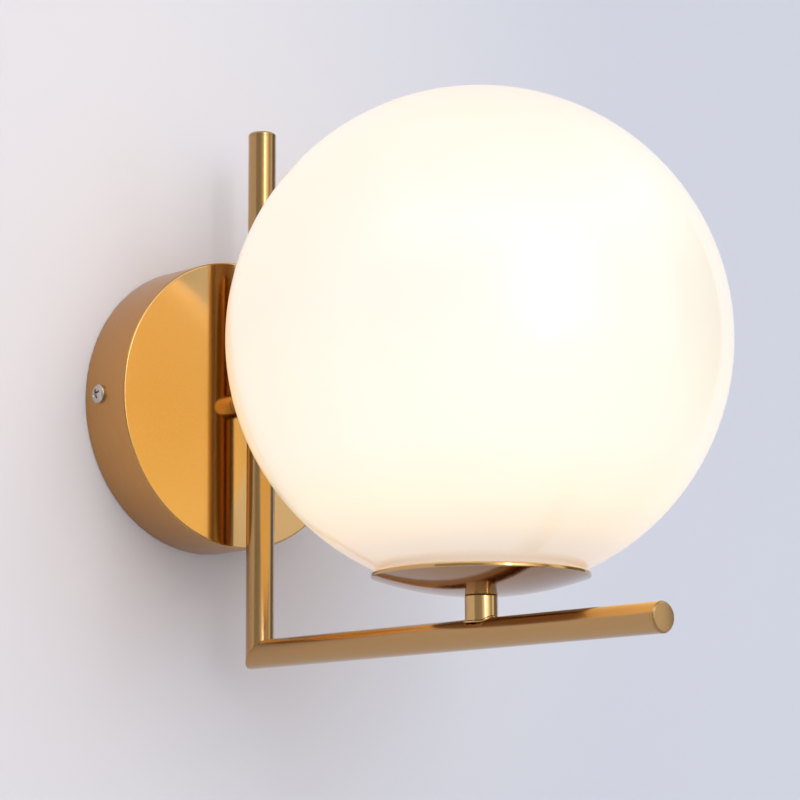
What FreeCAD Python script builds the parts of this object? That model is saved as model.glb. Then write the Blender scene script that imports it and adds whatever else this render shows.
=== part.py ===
import FreeCAD, Part
import math
import os

from FreeCAD import Vector

# Globe wall sconce. Millimetres, +Z up, the wall is the plane y = 0 and the light stands out to -Y.
# The origin is the centre of the canopy's back, on the wall. Every tube lies in the plane x = 0.

# Canopy on the wall
canopy_radius = 62.5
canopy_depth = 27.0
canopy_wall = 1.2
canopy_edge_round = 1.0
side_screw_reach = 10.0          # from the wall to the axis of the two side screws

# Tubes
tube_radius = 6.0
tube_wall = 1.0
riser_reach = 41.0               # from the wall to the axis of the upright tube
riser_above = 118.0              # top of the upright tube above the canopy's centre
arm_drop = 108.5                 # axis of the arm below the canopy's centre
arm_reach = 271.5                # from the wall to the arm's front end
cap_lip = 1.6                    # visible thickness of the end caps
cap_chamfer = 0.7
cap_plug_depth = 6.0
cap_plug_chamfer = 0.4

# Stem between canopy and upright tube
stem_radius = 5.5
wire_bore_radius = 3.6           # the same bore runs through stem, nipples and tube walls
stem_thread_depth = 4.0

# Threaded fixings, M10 x 1 hollow nipples with their nuts
nipple_radius = 5.0
nut_across_flats = 14.0
nut_height = 4.0
nut_crown = 0.6                  # slope of the chamfer on a nut's corners
washer_radius = 9.0
washer_height = 1.0
stem_nipple_inside = 9.0         # how far the stem's nipple stands into the canopy
tag_length = 16.0                # earth tag, from the nipple's axis to its tip
tag_width = 5.0
tag_edge = 2.0                   # from the tag's tip to the wire on it

# Wall bracket and what is fixed on it
bracket_width = 20.0
bracket_thickness = 1.5
ear_reach = 16.0
ear_thickness = 2.0
slot_spacing = 76.0
slot_radius = 2.5
slot_length = 12.0
m4_radius = 2.0
m4_head_radius = 4.0
m4_head_height = 2.4
m4_dome = 0.7
dome_middle_out = 0.72           # the dome's middle point, as a share of the head's radius
dome_middle_down = 0.3           # and as a share of the dome's height
screw_point = 0.5                # chamfer at a screw's tip
side_screw_length = 10.0
side_screw_twist = 20.0          # how far its cross is turned, in degrees
recess_arm = 4.4
recess_slit = 0.9
recess_depth = 1.4
earth_screw_place = -18.0
block_length = 19.0
block_height = 16.0
block_depth = 13.0
block_place = 9.5                # x of the block's end nearest the canopy's centre
block_way_spacing = 8.0
block_way_radius = 1.6
block_way_depth = 8.0
block_way_level = 6.5            # from the bracket's face to a way's axis
block_groove_width = 2.0         # groove between the two ends of the block
block_groove_depth = 1.5
block_screw_radius = 1.7
block_screw_head = 1.0           # from the block's face to a clamp screw's head
block_slit_width = 0.6
block_slit_depth = 0.5
block_screw_sink = 3.0           # depth of the counterbore for the block's own screw
m3_radius = 1.5
m3_head_radius = 2.8
m3_head_height = 1.8

# Globe, dish and neck on the shade's axis
globe_reach = 176.0              # from the wall to the shade's axis
globe_radius = 100.0
glass_wall = 3.0
mouth_rise = 1.16                # from the dish's lip to the edge of the globe's mouth
neck_radius = 6.5
neck_height = 8.6                # from the top of the arm to the dish
neck_lap = 1.8                   # how far the neck's foot laps down over the arm
dish_radius = 43.0
dish_sag = 7.3                   # from the lowest edge of the rim to the pole
dish_wall = 1.5
dish_edge_round = 0.4

# Fitter: threaded hub on the dish, threaded ring bonded in the globe's mouth
hub_core_radius = 33.2
hub_wall = 2.5
hub_rise = 16.4                  # from the dish's pole, inside, to the hub's top edge
hub_floor = 5.6                  # from the dish's pole, inside, to the hub's flat floor
shade_pitch = 4.0
shade_turns = 1.5
thread_depth = 0.8
thread_land = 0.5                # width of a thread's crest
thread_sink = 0.2                # how far a ridge's foot is sunk into its root
thread_end = 0.4                 # plain land between a thread and the edge that it starts at
ring_wall = 1.6
ring_lip = 1.2
gasket_thickness = 1.0
gasket_width = 1.9
o_ring_radius = 39.5
o_ring_section = 0.75
bead_leg = 4.0
mouth_gap = 0.3                  # between the ring and the edge of the glass

# Lamp holder, for an E27 cap
holder_radius = 19.5
holder_wall = 2.0
holder_base_height = 20.0
holder_floor = 5.0
holder_core_height = 5.0
holder_skirt_height = 27.0
holder_lip_round = 0.8
holder_base_round = 6.0
contact_height = 2.8
contact_radius = 3.4
contact_blade_length = 22.0
contact_blade_width = 5.0
contact_blade_thickness = 0.6
contact_slope = 3.0              # run of the blade's slope up to the pad
contact_bend = 0.3
terminal_place = 8.0
terminal_size = 5.0
terminal_screw_hole = 1.5        # depth of the screw's hole in a terminal
shell_wall = 0.5
shell_length = 24.0

# Bulb with an E27 cap
e27_pitch = 3.629
e27_root_radius = 12.1
e27_depth = 0.95
e27_turns = 5.0
cap_length = 22.0
cap_wall = 0.6
pip_radius = 4.8
pip_height = 1.5
pip_edge = 1.2
pip_edge_middle = 0.4
insulator_height = 4.5
insulator_lip = 0.6              # how far the insulator's foot stands out past the contact
insulator_lap = 1.0              # how far it stands up inside the cap
bulb_radius = 30.0
bulb_length = 108.0
bulb_collar_radius = 14.5
bulb_collar_height = 3.0
housing_plug_depth = 8.0         # how far the housing reaches down into the cap
housing_plug_wall = 2.0
housing_bend_out = 3.0           # the middle of the housing's curve, out from the collar
housing_bend_up = 0.35           # and as a share of its height
housing_wall = 2.2
housing_seat_width = 2.5         # width of the edge that the diffuser stands on
seat_drop = 12.0                 # from the bulb's widest place down to that edge
diffuser_wall = 1.2
board_thickness = 1.6
board_rim_gap = 1.5
led_size = 3.0
led_height = 0.8
led_ring_radius = 14.0
led_count = 8

# Wires
wire_radius = 0.9
wire_spacing = 2.2
wire_bend = 4.0
wire_step_bend = 2.5
wire_stop = 1.0                  # from a way's end, or a nipple's, to the wire's turn
wire_step_low = 1.5              # from the holder's floor to the wire's step aside
wire_step_high = 2.2             # from that step to the terminal
earth_drop = 4.0                 # how far the earth wire runs below the bracket

# Working values
cut_over = 1.0                   # how far a cutting tool runs past the metal
join_lap = 0.2                   # how far two pieces of one solid reach into each other

# Clearances
weld_gap = 0.02                  # between a coped end and the tube that it is welded to
thread_gap = 0.05                # between a screwed shank and its hole
seat_gap = 0.05                  # between the hub and the dish that it follows
plug_gap = 0.05
rest_gap = 0.1                   # under a piece that rests on another and lifts off
crest_gap = 0.2                  # between the crests of a screwed pair
hole_gap = 0.3                   # round a screw in a plain hole
inside_gap = 0.3                 # between the canopy's wall and the bracket's ears
foot_gap = 0.3                   # between the shade ring's foot and the dish
bead_gap = 0.3                   # from the glass's outer edge up to the bonding bead

# Heights on the shade's axis, from the arm up
arm_top = -arm_drop + tube_radius
dish_pole = arm_top + neck_height
dish_lip = dish_pole + dish_sag
dish_sphere = (dish_radius ** 2 + dish_sag ** 2) / (2 * dish_sag)
dish_centre = dish_pole + dish_sphere
dish_inside = dish_pole + dish_wall
dish_inner_sphere = dish_sphere - dish_wall
hub_floor_level = dish_inside + hub_floor
hub_top = dish_inside + hub_rise
hub_crest_radius = hub_core_radius + thread_depth
ring_crest_radius = hub_crest_radius + crest_gap
ring_bore_radius = ring_crest_radius + thread_depth
ring_radius = ring_bore_radius + ring_wall
mouth_radius = ring_radius + mouth_gap
globe_level = dish_lip + mouth_rise + math.sqrt(globe_radius ** 2 - mouth_radius ** 2)
nut_level = hub_floor_level + washer_height
holder_level = nut_level + nut_height
core_level = holder_level + holder_base_height
shell_level = core_level + holder_core_height
pip_level = shell_level + contact_height + rest_gap
bulb_top = pip_level + bulb_length
canopy_face = -canopy_depth
canopy_inside = canopy_face + canopy_wall


# Helpers

def turned(start, *steps):
    """A solid turned round the Z axis. A step is (r, z), or (middle, end) for an arc."""
    edges = []
    here = Vector(start[0], 0, start[1])
    for step in steps:
        if isinstance(step[0], tuple):
            middle = Vector(step[0][0], 0, step[0][1])
            there = Vector(step[1][0], 0, step[1][1])
            edges.append(Part.Arc(here, middle, there).toShape())
        else:
            there = Vector(step[0], 0, step[1])
            edges.append(Part.makeLine(here, there))
        here = there
    edges.append(Part.makeLine(here, Vector(start[0], 0, start[1])))
    face = Part.Face(Part.Wire(edges))
    return face.revolve(Vector(0, 0, 0), Vector(0, 0, 1), 360)


def under_sphere(centre, radius, r):
    """Height of the lower half of a sphere, at the distance r from its axis."""
    return centre - math.sqrt(radius ** 2 - r ** 2)


def sphere_arc(centre, radius, r_from, r_to):
    """A step for turned: along the lower half of a sphere, from one distance to another."""
    r_middle = (r_from + r_to) / 2
    middle = (r_middle, under_sphere(centre, radius, r_middle))
    return middle, (r_to, under_sphere(centre, radius, r_to))


def rod(radius, start, end):
    return Part.makeCylinder(radius, (end - start).Length, start, end - start)


def pipe(radius, bore, start, end):
    return rod(radius, start, end).cut(rod(bore, start, end))


def box(low, high):
    low, high = Vector(*low), Vector(*high)
    size = high - low
    return Part.makeBox(size.x, size.y, size.z, low)


def helical_ridge(root, crest, pitch, turns, level):
    """One ridge of a right-hand thread with 45 degree flanks, sunk a little into its root."""
    sunk = root - thread_sink if crest > root else root + thread_sink
    foot = ridge_foot(abs(crest - root))
    helix = Part.makeHelix(pitch, pitch * turns, root)
    corners = [(sunk, -foot), (sunk, foot), (crest, thread_land / 2), (crest, -thread_land / 2)]
    points = [Vector(r, 0, z) for r, z in corners]
    profile = Part.makePolygon(points + points[:1])
    shell = Part.BRepOffsetAPI.MakePipeShell(Part.Wire(helix.Edges))
    shell.setFrenetMode(True)
    shell.add(profile)
    shell.build()
    shell.makeSolid()
    ridge = shell.shape()
    ridge.translate(Vector(0, 0, level))
    return ridge


def rounded_path(points, bends):
    """A wire of straight runs joined by tangent arcs, one bend radius for each inner point."""
    edges = []
    here = points[0]
    for before, corner, after, bend in zip(points, points[1:], points[2:], bends):
        back = (before - corner).normalize()
        ahead = (after - corner).normalize()
        half = back.getAngle(ahead) / 2
        reach = bend / math.tan(half)
        middle_way = (back + ahead).normalize()
        centre = corner + middle_way * (bend / math.sin(half))
        start, end = corner + back * reach, corner + ahead * reach
        edges.append(Part.makeLine(here, start))
        edges.append(Part.Arc(start, centre - middle_way * bend, end).toShape())
        here = end
    edges.append(Part.makeLine(here, points[-1]))
    return Part.Wire(edges)


def wire_along(points, bends):
    path = rounded_path(points, bends)
    first = points[1] - points[0]
    circle = Part.makeCircle(wire_radius, points[0], first)
    shell = Part.BRepOffsetAPI.MakePipeShell(path)
    shell.add(Part.Wire([circle]))
    shell.build()
    shell.makeSolid()
    return shell.shape()


def pan_screw(shank_radius, head_radius, head_height, length):
    """A pan-head screw with a cross recess. The head's seat is at z = 0 and the shank points down."""
    edge = head_height - m4_dome
    middle = (head_radius * dome_middle_out, head_height - m4_dome * dome_middle_down)
    head = turned((0, 0), (head_radius, 0), (head_radius, edge), (middle, (0, head_height)))
    shank = turned((0, join_lap), (shank_radius, join_lap), (shank_radius, -length + screw_point),
                   (shank_radius - screw_point, -length), (0, -length))
    screw = head.fuse(shank)
    half_arm, half_slit = recess_arm / 2, recess_slit / 2
    low, high = head_height - recess_depth, head_height + cut_over
    screw = screw.cut(box((-half_arm, -half_slit, low), (half_arm, half_slit, high)))
    return screw.cut(box((-half_slit, -half_arm, low), (half_slit, half_arm, high)))


def hexagon(flats, height, bore):
    radius = flats / math.sqrt(3)
    corners = [Vector(radius * math.cos(math.radians(a)), radius * math.sin(math.radians(a)), 0)
               for a in range(0, 361, 60)]
    blank = Part.Face(Part.makePolygon(corners)).extrude(Vector(0, 0, height))
    slope = (radius - flats / 2) * nut_crown
    crown = turned((0, 0), (flats / 2, 0), (radius, slope), (radius, height - slope),
                   (flats / 2, height), (0, height))
    return blank.common(crown).cut(Part.makeCylinder(bore, height))


def turn_to_wall_axis(shape, y):
    """Lays a piece made round Z along the wall's normal, its z = 0 at y and its z up towards -Y."""
    shape.rotate(Vector(0, 0, 0), Vector(1, 0, 0), 90)
    shape.translate(Vector(0, y, 0))
    return shape


def on_shade_axis(shape):
    shape.translate(Vector(0, -globe_reach, 0))
    return shape


# Canopy and its fixings

def canopy():
    shell = turned((0, 0), (canopy_radius, 0), (canopy_radius, canopy_depth), (0, canopy_depth))
    front = [e for e in shell.Edges if e.CenterOfMass.z > canopy_depth / 2 and len(e.Vertexes) == 1]
    shell = shell.makeFillet(canopy_edge_round, front)
    hollow = Part.makeCylinder(canopy_radius - canopy_wall, canopy_depth - canopy_wall)
    shell = shell.cut(hollow)
    shell = shell.cut(Part.makeCylinder(nipple_radius + hole_gap, canopy_depth + cut_over))
    shell = turn_to_wall_axis(shell, 0)
    level = Vector(0, -side_screw_reach, 0)
    across = Vector(canopy_radius + cut_over, 0, 0)
    return shell.cut(rod(m4_radius + hole_gap, level - across, level + across))


def ear_outside():
    return canopy_radius - canopy_wall - inside_gap


def wall_bracket():
    half = bracket_width / 2
    outer = ear_outside()
    # The ears' corners stay inside the round wall
    outer = math.sqrt(outer ** 2 - half ** 2)
    strip = box((-outer, -bracket_thickness, -half), (outer, 0, half))
    for side in (-1, 1):
        low, high = sorted((side * outer, side * (outer - ear_thickness)))
        ear = box((low, -ear_reach, -half), (high, 0, half))
        strip = strip.fuse(ear)
    strip = strip.removeSplitter()
    level = Vector(0, -side_screw_reach, 0)
    across = Vector(outer + cut_over, 0, 0)
    strip = strip.cut(rod(m4_radius + thread_gap, level - across, level + across))
    for side in (-1, 1):
        strip = strip.cut(wall_slot(side * slot_spacing / 2))
    strip = strip.cut(rod(m4_radius + thread_gap, Vector(earth_screw_place, cut_over, 0),
                          Vector(earth_screw_place, -ear_reach, 0)))
    return strip.cut(rod(m3_radius + thread_gap, Vector(block_middle(), cut_over, 0),
                         Vector(block_middle(), -ear_reach, 0)))


def wall_slot(x):
    half = slot_length / 2 - slot_radius
    start = Vector(x - half, cut_over, 0)
    end = Vector(x - half, -bracket_thickness - cut_over, 0)
    reach = Vector(2 * half, 0, 0)
    slot = rod(slot_radius, start, end).fuse(rod(slot_radius, start + reach, end + reach))
    return slot.fuse(box((x - half, end.y, -slot_radius), (x + half, start.y, slot_radius)))


def side_screws():
    screws = []
    for side in (-1, 1):
        screw = pan_screw(m4_radius, m4_head_radius, m4_head_height, side_screw_length)
        screw.rotate(Vector(0, 0, 0), Vector(0, 0, 1), side_screw_twist)
        screw.rotate(Vector(0, 0, 0), Vector(0, 1, 0), 90 * side)
        screw.translate(Vector(side * canopy_radius, -side_screw_reach, 0))
        screws.append(screw)
    return Part.makeCompound(screws)


def earth_screw():
    screw = pan_screw(m4_radius, m4_head_radius, m4_head_height, bracket_thickness)
    screw = turn_to_wall_axis(screw, -bracket_thickness)
    screw.translate(Vector(earth_screw_place, 0, 0))
    return screw


def block_middle():
    return block_place + block_length / 2


def block_face():
    return -bracket_thickness - block_depth


def block_screw_seat():
    return block_face() + block_screw_sink


def way_level():
    return -bracket_thickness - block_way_level


def way_heights():
    return (-block_way_spacing / 2, block_way_spacing / 2)


def block_screw_places():
    inset = block_way_depth / 2
    return (block_place + inset, block_place + block_length - inset)


def terminal_block():
    half = block_height / 2
    block = box((block_place, block_face(), -half), (block_place + block_length, -bracket_thickness, half))
    half_groove = block_groove_width / 2
    groove = box((block_middle() - half_groove, block_face() - cut_over, -half - cut_over),
                 (block_middle() + half_groove, block_face() + block_groove_depth, half + cut_over))
    block = block.cut(groove)
    for z in way_heights():
        for end, way in ((block_place, 1), (block_place + block_length, -1)):
            mouth = Vector(end, way_level(), z)
            block = block.cut(rod(block_way_radius, mouth, mouth + Vector(way * block_way_depth, 0, 0)))
        for x in block_screw_places():
            mouth = Vector(x, block_face() - cut_over, z)
            block = block.cut(rod(block_screw_radius + hole_gap, mouth, Vector(x, way_level(), z)))
    middle = Vector(block_middle(), 0, 0)
    front = middle + Vector(0, block_face() - cut_over, 0)
    block = block.cut(rod(m3_radius + hole_gap, front, middle))
    return block.cut(rod(m3_head_radius + hole_gap, front, middle + Vector(0, block_screw_seat(), 0)))


def terminal_screws():
    """The lamp's end clamps its wires. The supply's end is backed off, clear of the ways."""
    screws = []
    lamp_side, supply_side = block_screw_places()
    length = way_level() - wire_radius - rest_gap - block_face() - block_screw_head
    backed_off = block_way_radius - wire_radius
    half_slit = block_slit_width / 2
    for z in way_heights():
        for x, back in ((lamp_side, 0), (supply_side, backed_off)):
            top = block_face() + block_screw_head - back
            screw = rod(block_screw_radius, Vector(x, top, z), Vector(x, top + length, z))
            slit = box((x - block_screw_radius - cut_over, top - cut_over, z - half_slit),
                       (x + block_screw_radius + cut_over, top + block_slit_depth, z + half_slit))
            screws.append(screw.cut(slit))
    return Part.makeCompound(screws)


def block_screw():
    seat = block_screw_seat()
    screw = pan_screw(m3_radius, m3_head_radius, m3_head_height, -seat - rest_gap)
    screw = turn_to_wall_axis(screw, seat)
    screw.translate(Vector(block_middle(), 0, 0))
    return screw


# Stem

def riser_back():
    return -riser_reach + tube_radius


def stem():
    axis = Vector(0, -riser_reach, 0)
    blank = rod(stem_radius, Vector(0, canopy_face, 0), axis)
    around = Vector(0, 0, 2 * stem_radius)
    blank = blank.cut(rod(tube_radius + weld_gap, axis - around, axis + around))
    blank = max(blank.Solids, key=lambda solid: solid.Volume)
    mouth = Vector(0, canopy_face + cut_over, 0)
    blank = blank.cut(rod(wire_bore_radius, mouth, axis))
    threaded_to = Vector(0, canopy_face - stem_thread_depth, 0)
    return blank.cut(rod(nipple_radius + thread_gap, mouth, threaded_to))


def stem_nipple():
    start = Vector(0, canopy_inside + stem_nipple_inside, 0)
    return pipe(nipple_radius, wire_bore_radius, start, Vector(0, canopy_face - stem_thread_depth, 0))


def earth_tag():
    tag = Part.makeCylinder(washer_radius, washer_height)
    tab = box((-tag_length, -tag_width / 2, 0), (0, tag_width / 2, washer_height))
    tag = tag.fuse(tab).removeSplitter()
    tag = tag.cut(Part.makeCylinder(nipple_radius + hole_gap, washer_height))
    return turn_to_wall_axis(tag, canopy_inside + washer_height)


def stem_nut():
    nut = hexagon(nut_across_flats, nut_height, nipple_radius + thread_gap)
    return turn_to_wall_axis(nut, canopy_inside + washer_height + nut_height)


# Tubes

def corner():
    return Vector(0, -riser_reach, -arm_drop)


def mitre_side(above):
    """A block on one side of the 45 degree plane through the tubes' corner."""
    size = 3 * tube_radius
    block = Part.makeBox(2 * size, 2 * size, 2 * size, Vector(-size, -size, 0))
    block.rotate(Vector(0, 0, 0), Vector(1, 0, 0), -45 if above else 135)
    block.translate(corner())
    return block


def riser_tube():
    top = Vector(0, -riser_reach, riser_above - cap_lip)
    foot = corner() - Vector(0, 0, 2 * tube_radius)
    tube = pipe(tube_radius, tube_radius - tube_wall, foot, top)
    tube = tube.cut(mitre_side(False))
    axis = Vector(0, -riser_reach, 0)
    tube = tube.cut(rod(wire_bore_radius, axis, Vector(0, riser_back() + cut_over, 0)))
    return max(tube.Solids, key=lambda solid: solid.Volume)


def arm_tube():
    tip = Vector(0, -arm_reach + cap_lip, -arm_drop)
    back = corner() + Vector(0, 2 * tube_radius, 0)
    tube = pipe(tube_radius, tube_radius - tube_wall, back, tip)
    tube = tube.cut(mitre_side(True))
    axis = Vector(0, -globe_reach, -arm_drop)
    tube = tube.cut(rod(wire_bore_radius, axis, axis + Vector(0, 0, tube_radius + cut_over)))
    return max(tube.Solids, key=lambda solid: solid.Volume)


def end_cap():
    """A plug cap. Its lip stands up from z = 0 and its plug reaches down into the tube."""
    plug = tube_radius - tube_wall - plug_gap
    return turned((0, -cap_plug_depth), (plug - cap_plug_chamfer, -cap_plug_depth),
                  (plug, -cap_plug_depth + cap_plug_chamfer), (plug, 0), (tube_radius, 0),
                  (tube_radius, cap_lip - cap_chamfer), (tube_radius - cap_chamfer, cap_lip), (0, cap_lip))


def riser_cap():
    cap = end_cap()
    cap.translate(Vector(0, -riser_reach, riser_above - cap_lip))
    return cap


def arm_cap():
    cap = turn_to_wall_axis(end_cap(), -arm_reach + cap_lip)
    cap.translate(Vector(0, 0, -arm_drop))
    return cap


# Neck and dish

def neck():
    blank = pipe(neck_radius, nipple_radius + thread_gap, Vector(0, 0, arm_top - neck_lap),
                 Vector(0, 0, dish_lip))
    over = Part.makeSphere(dish_sphere + weld_gap, Vector(0, 0, dish_centre))
    blank = blank.cut(over)
    reach = Vector(0, 2 * neck_radius, 0)
    axis = Vector(0, 0, -arm_drop)
    blank = blank.cut(rod(tube_radius + weld_gap, axis - reach, axis + reach))
    return on_shade_axis(max(blank.Solids, key=lambda solid: solid.Volume))


def dish():
    hole = nipple_radius + hole_gap
    inner_rim = under_sphere(dish_centre, dish_inner_sphere, dish_radius)
    shell = turned((hole, under_sphere(dish_centre, dish_sphere, hole)),
                   sphere_arc(dish_centre, dish_sphere, hole, dish_radius),
                   (dish_radius, inner_rim),
                   sphere_arc(dish_centre, dish_inner_sphere, dish_radius, hole))
    rim = [e for e in shell.Edges if len(e.Vertexes) == 1 and e.BoundBox.XLength > dish_radius]
    return on_shade_axis(shell.makeFillet(dish_edge_round, rim))


def dish_nipple():
    foot = Vector(0, 0, arm_top + rest_gap)
    return on_shade_axis(pipe(nipple_radius, wire_bore_radius, foot,
                              Vector(0, 0, holder_level + holder_floor)))


def dish_washer():
    return on_shade_axis(pipe(washer_radius, nipple_radius + hole_gap, Vector(0, 0, hub_floor_level),
                              Vector(0, 0, nut_level)))


def dish_nut():
    nut = hexagon(nut_across_flats, nut_height, nipple_radius + thread_gap)
    nut.translate(Vector(0, 0, nut_level))
    return on_shade_axis(nut)


# Fitter and globe

def ridge_foot(depth):
    """Half the height of a thread's ridge where it is sunk into its root."""
    return thread_land / 2 + depth + thread_sink


def thread_start(top, pitch, turns, depth):
    return top - pitch * turns - ridge_foot(depth) - thread_end


def fitter_hub():
    hole = nipple_radius + hole_gap
    follow = dish_inner_sphere - seat_gap
    bore = hub_core_radius - hub_wall
    blank = turned((hole, under_sphere(dish_centre, follow, hole)),
                   sphere_arc(dish_centre, follow, hole, hub_core_radius),
                   (hub_core_radius, hub_top), (bore, hub_top), (bore, hub_floor_level),
                   (hole, hub_floor_level))
    ridge = helical_ridge(hub_core_radius, hub_crest_radius, shade_pitch, shade_turns,
                          thread_start(hub_top, shade_pitch, shade_turns, thread_depth))
    return on_shade_axis(blank.fuse(ridge))


def lip_level():
    return hub_top + gasket_thickness + 2 * rest_gap


def ring_foot():
    return under_sphere(dish_centre, dish_inner_sphere, ring_radius) + foot_gap


def shade_ring():
    top = lip_level() + ring_lip
    lip_bore = hub_crest_radius - gasket_width
    blank = turned((ring_bore_radius, ring_foot()), (ring_radius, ring_foot()), (ring_radius, top),
                   (lip_bore, top), (lip_bore, lip_level()), (ring_bore_radius, lip_level()))
    start = ring_foot() + ridge_foot(thread_depth) + thread_end
    ridge = helical_ridge(ring_bore_radius, ring_crest_radius, shade_pitch, shade_turns, start)
    return on_shade_axis(blank.fuse(ridge))


def shade_gasket():
    low = hub_top + rest_gap
    return on_shade_axis(pipe(hub_crest_radius, hub_crest_radius - gasket_width, Vector(0, 0, low),
                              Vector(0, 0, low + gasket_thickness)))


def shade_o_ring():
    below = under_sphere(dish_centre, dish_inner_sphere, o_ring_radius)
    above = under_sphere(globe_level, globe_radius, o_ring_radius)
    return on_shade_axis(Part.makeTorus(o_ring_radius, o_ring_section, Vector(0, 0, (below + above) / 2)))


def glass_globe():
    centre = Vector(0, 0, globe_level)
    glass = Part.makeSphere(globe_radius, centre)
    glass = glass.cut(Part.makeSphere(globe_radius - glass_wall, centre))
    foot = Vector(0, 0, globe_level - globe_radius - cut_over)
    return on_shade_axis(glass.cut(rod(mouth_radius, foot, Vector(0, 0, globe_level))))


def bond_bead():
    inner = globe_radius - glass_wall
    edge_low = under_sphere(globe_level, globe_radius, mouth_radius) + bead_gap
    edge_high = under_sphere(globe_level, inner, mouth_radius)
    reach = mouth_radius + bead_leg
    bead = turned((ring_radius, edge_low), (mouth_radius, edge_low), (mouth_radius, edge_high),
                  sphere_arc(globe_level, inner, mouth_radius, reach),
                  (ring_radius, edge_high + bead_leg))
    return on_shade_axis(bead)


# Lamp holder

def holder_base():
    top = core_level
    inside = holder_radius - holder_wall
    floor = holder_level + holder_floor
    hole = nipple_radius + thread_gap
    corner_in = holder_base_round * (1 - math.sqrt(0.5))
    blank = turned((hole, holder_level), (holder_radius - holder_base_round, holder_level),
                   ((holder_radius - corner_in, holder_level + corner_in),
                    (holder_radius, holder_level + holder_base_round)),
                   (holder_radius, top), (inside, top), (inside, floor), (hole, floor))
    return on_shade_axis(blank)


def skirt_bore():
    return shell_radius() + plug_gap


def holder_skirt():
    top = core_level + holder_skirt_height
    bore = skirt_bore()
    blank = turned((bore, core_level + holder_core_height), (bore, top),
                   (holder_radius - holder_lip_round, top), (holder_radius, top - holder_lip_round),
                   (holder_radius, core_level), (core_radius() + plug_gap, core_level),
                   (core_radius() + plug_gap, core_level + holder_core_height))
    return on_shade_axis(blank)


def core_radius():
    return holder_radius - holder_wall


def holder_core():
    return on_shade_axis(rod(core_radius(), Vector(0, 0, core_level), Vector(0, 0, shell_level)))


def holder_terminals():
    posts = []
    half = terminal_size / 2
    for side in (-1, 1):
        x = side * terminal_place
        post = box((x - half, -half, core_level - terminal_size), (x + half, half, core_level))
        hole = rod(block_screw_radius, Vector(x, -half - cut_over, core_level - half),
                   Vector(x, -half + terminal_screw_hole, core_level - half))
        posts.append(on_shade_axis(post.cut(hole)))
    return Part.makeCompound(posts)


def shell_bore():
    return e27_root_radius + e27_depth + crest_gap + e27_depth


def shell_radius():
    return shell_bore() + shell_wall


def thread_shell():
    top = shell_level + shell_length
    tube = pipe(shell_radius(), shell_bore(), Vector(0, 0, shell_level), Vector(0, 0, top))
    ridge = helical_ridge(shell_bore(), shell_bore() - e27_depth, e27_pitch, e27_turns,
                          thread_start(top, e27_pitch, e27_turns, e27_depth))
    return on_shade_axis(tube.fuse(ridge))


def centre_contact():
    """A spring blade on the core, bowed up to a flat pad under the bulb's contact."""
    half = contact_blade_length / 2
    thick = contact_blade_thickness
    high = contact_height - thick
    foot = contact_radius + contact_slope
    pad, heel = contact_radius - contact_bend, foot - contact_bend
    side = [(-half, 0), (-foot, 0), (-contact_radius, high), (contact_radius, high), (foot, 0), (half, 0),
            (half, thick), (heel, thick), (pad, contact_height), (-pad, contact_height), (-heel, thick),
            (-half, thick)]
    points = [Vector(x, -contact_blade_width / 2, shell_level + z) for x, z in side]
    blade = Part.Face(Part.makePolygon(points + points[:1])).extrude(Vector(0, contact_blade_width, 0))
    return on_shade_axis(blade)


# Bulb

def bulb_contact():
    top = pip_level + pip_height
    pip = turned((0, pip_level), (pip_radius - pip_edge, pip_level),
                 ((pip_radius - pip_edge_middle, pip_level + pip_edge_middle), (pip_radius, top)), (0, top))
    return on_shade_axis(pip)


def cap_level():
    return pip_level + pip_height + insulator_height


def bulb_insulator():
    low = pip_level + pip_height
    wide = e27_root_radius - cap_wall - plug_gap
    top = cap_level() + insulator_lap
    cone = turned((0, low), (pip_radius + insulator_lip, low), (wide, cap_level() - insulator_lap),
                  (wide, top), (0, top))
    return on_shade_axis(cone)


def bulb_cap():
    low, high = cap_level(), cap_level() + cap_length
    tube = pipe(e27_root_radius, e27_root_radius - cap_wall, Vector(0, 0, low), Vector(0, 0, high))
    ridge = helical_ridge(e27_root_radius, e27_root_radius + e27_depth, e27_pitch, e27_turns,
                          low + ridge_foot(e27_depth) + thread_end)
    return on_shade_axis(tube.fuse(ridge))


def bulb_widest():
    return bulb_top - bulb_radius


def board_level():
    return bulb_widest() - seat_drop


def bulb_housing():
    """The moulded cone between the cap and the diffuser, with a plug inside the cap."""
    low = cap_level() + cap_length
    plug = e27_root_radius - cap_wall - plug_gap
    seat = board_level()
    wide = seat_radius()
    bore = plug - housing_plug_wall
    foot = low - housing_plug_depth
    collar_top = low + bulb_collar_height
    bend = (bulb_collar_radius + housing_bend_out, low + housing_bend_up * (seat - low))
    shell = turned((bore, foot), (plug, foot), (plug, low), (bulb_collar_radius, low),
                   (bulb_collar_radius, collar_top), (bend, (wide, seat)), (wide - housing_seat_width, seat),
                   ((bend[0] - housing_wall, bend[1]), (bore, collar_top)))
    return on_shade_axis(shell)


def seat_radius():
    """Radius of the diffuser's edge, where it meets the housing."""
    return math.sqrt(bulb_radius ** 2 - (bulb_widest() - board_level()) ** 2)


def bulb_diffuser():
    centre = Vector(0, 0, bulb_widest())
    dome = Part.makeSphere(bulb_radius, centre).cut(Part.makeSphere(bulb_radius - diffuser_wall, centre))
    below = rod(bulb_radius + cut_over, Vector(0, 0, bulb_widest() - bulb_radius - cut_over),
                Vector(0, 0, board_level() + plug_gap))
    return on_shade_axis(dome.cut(below))


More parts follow.
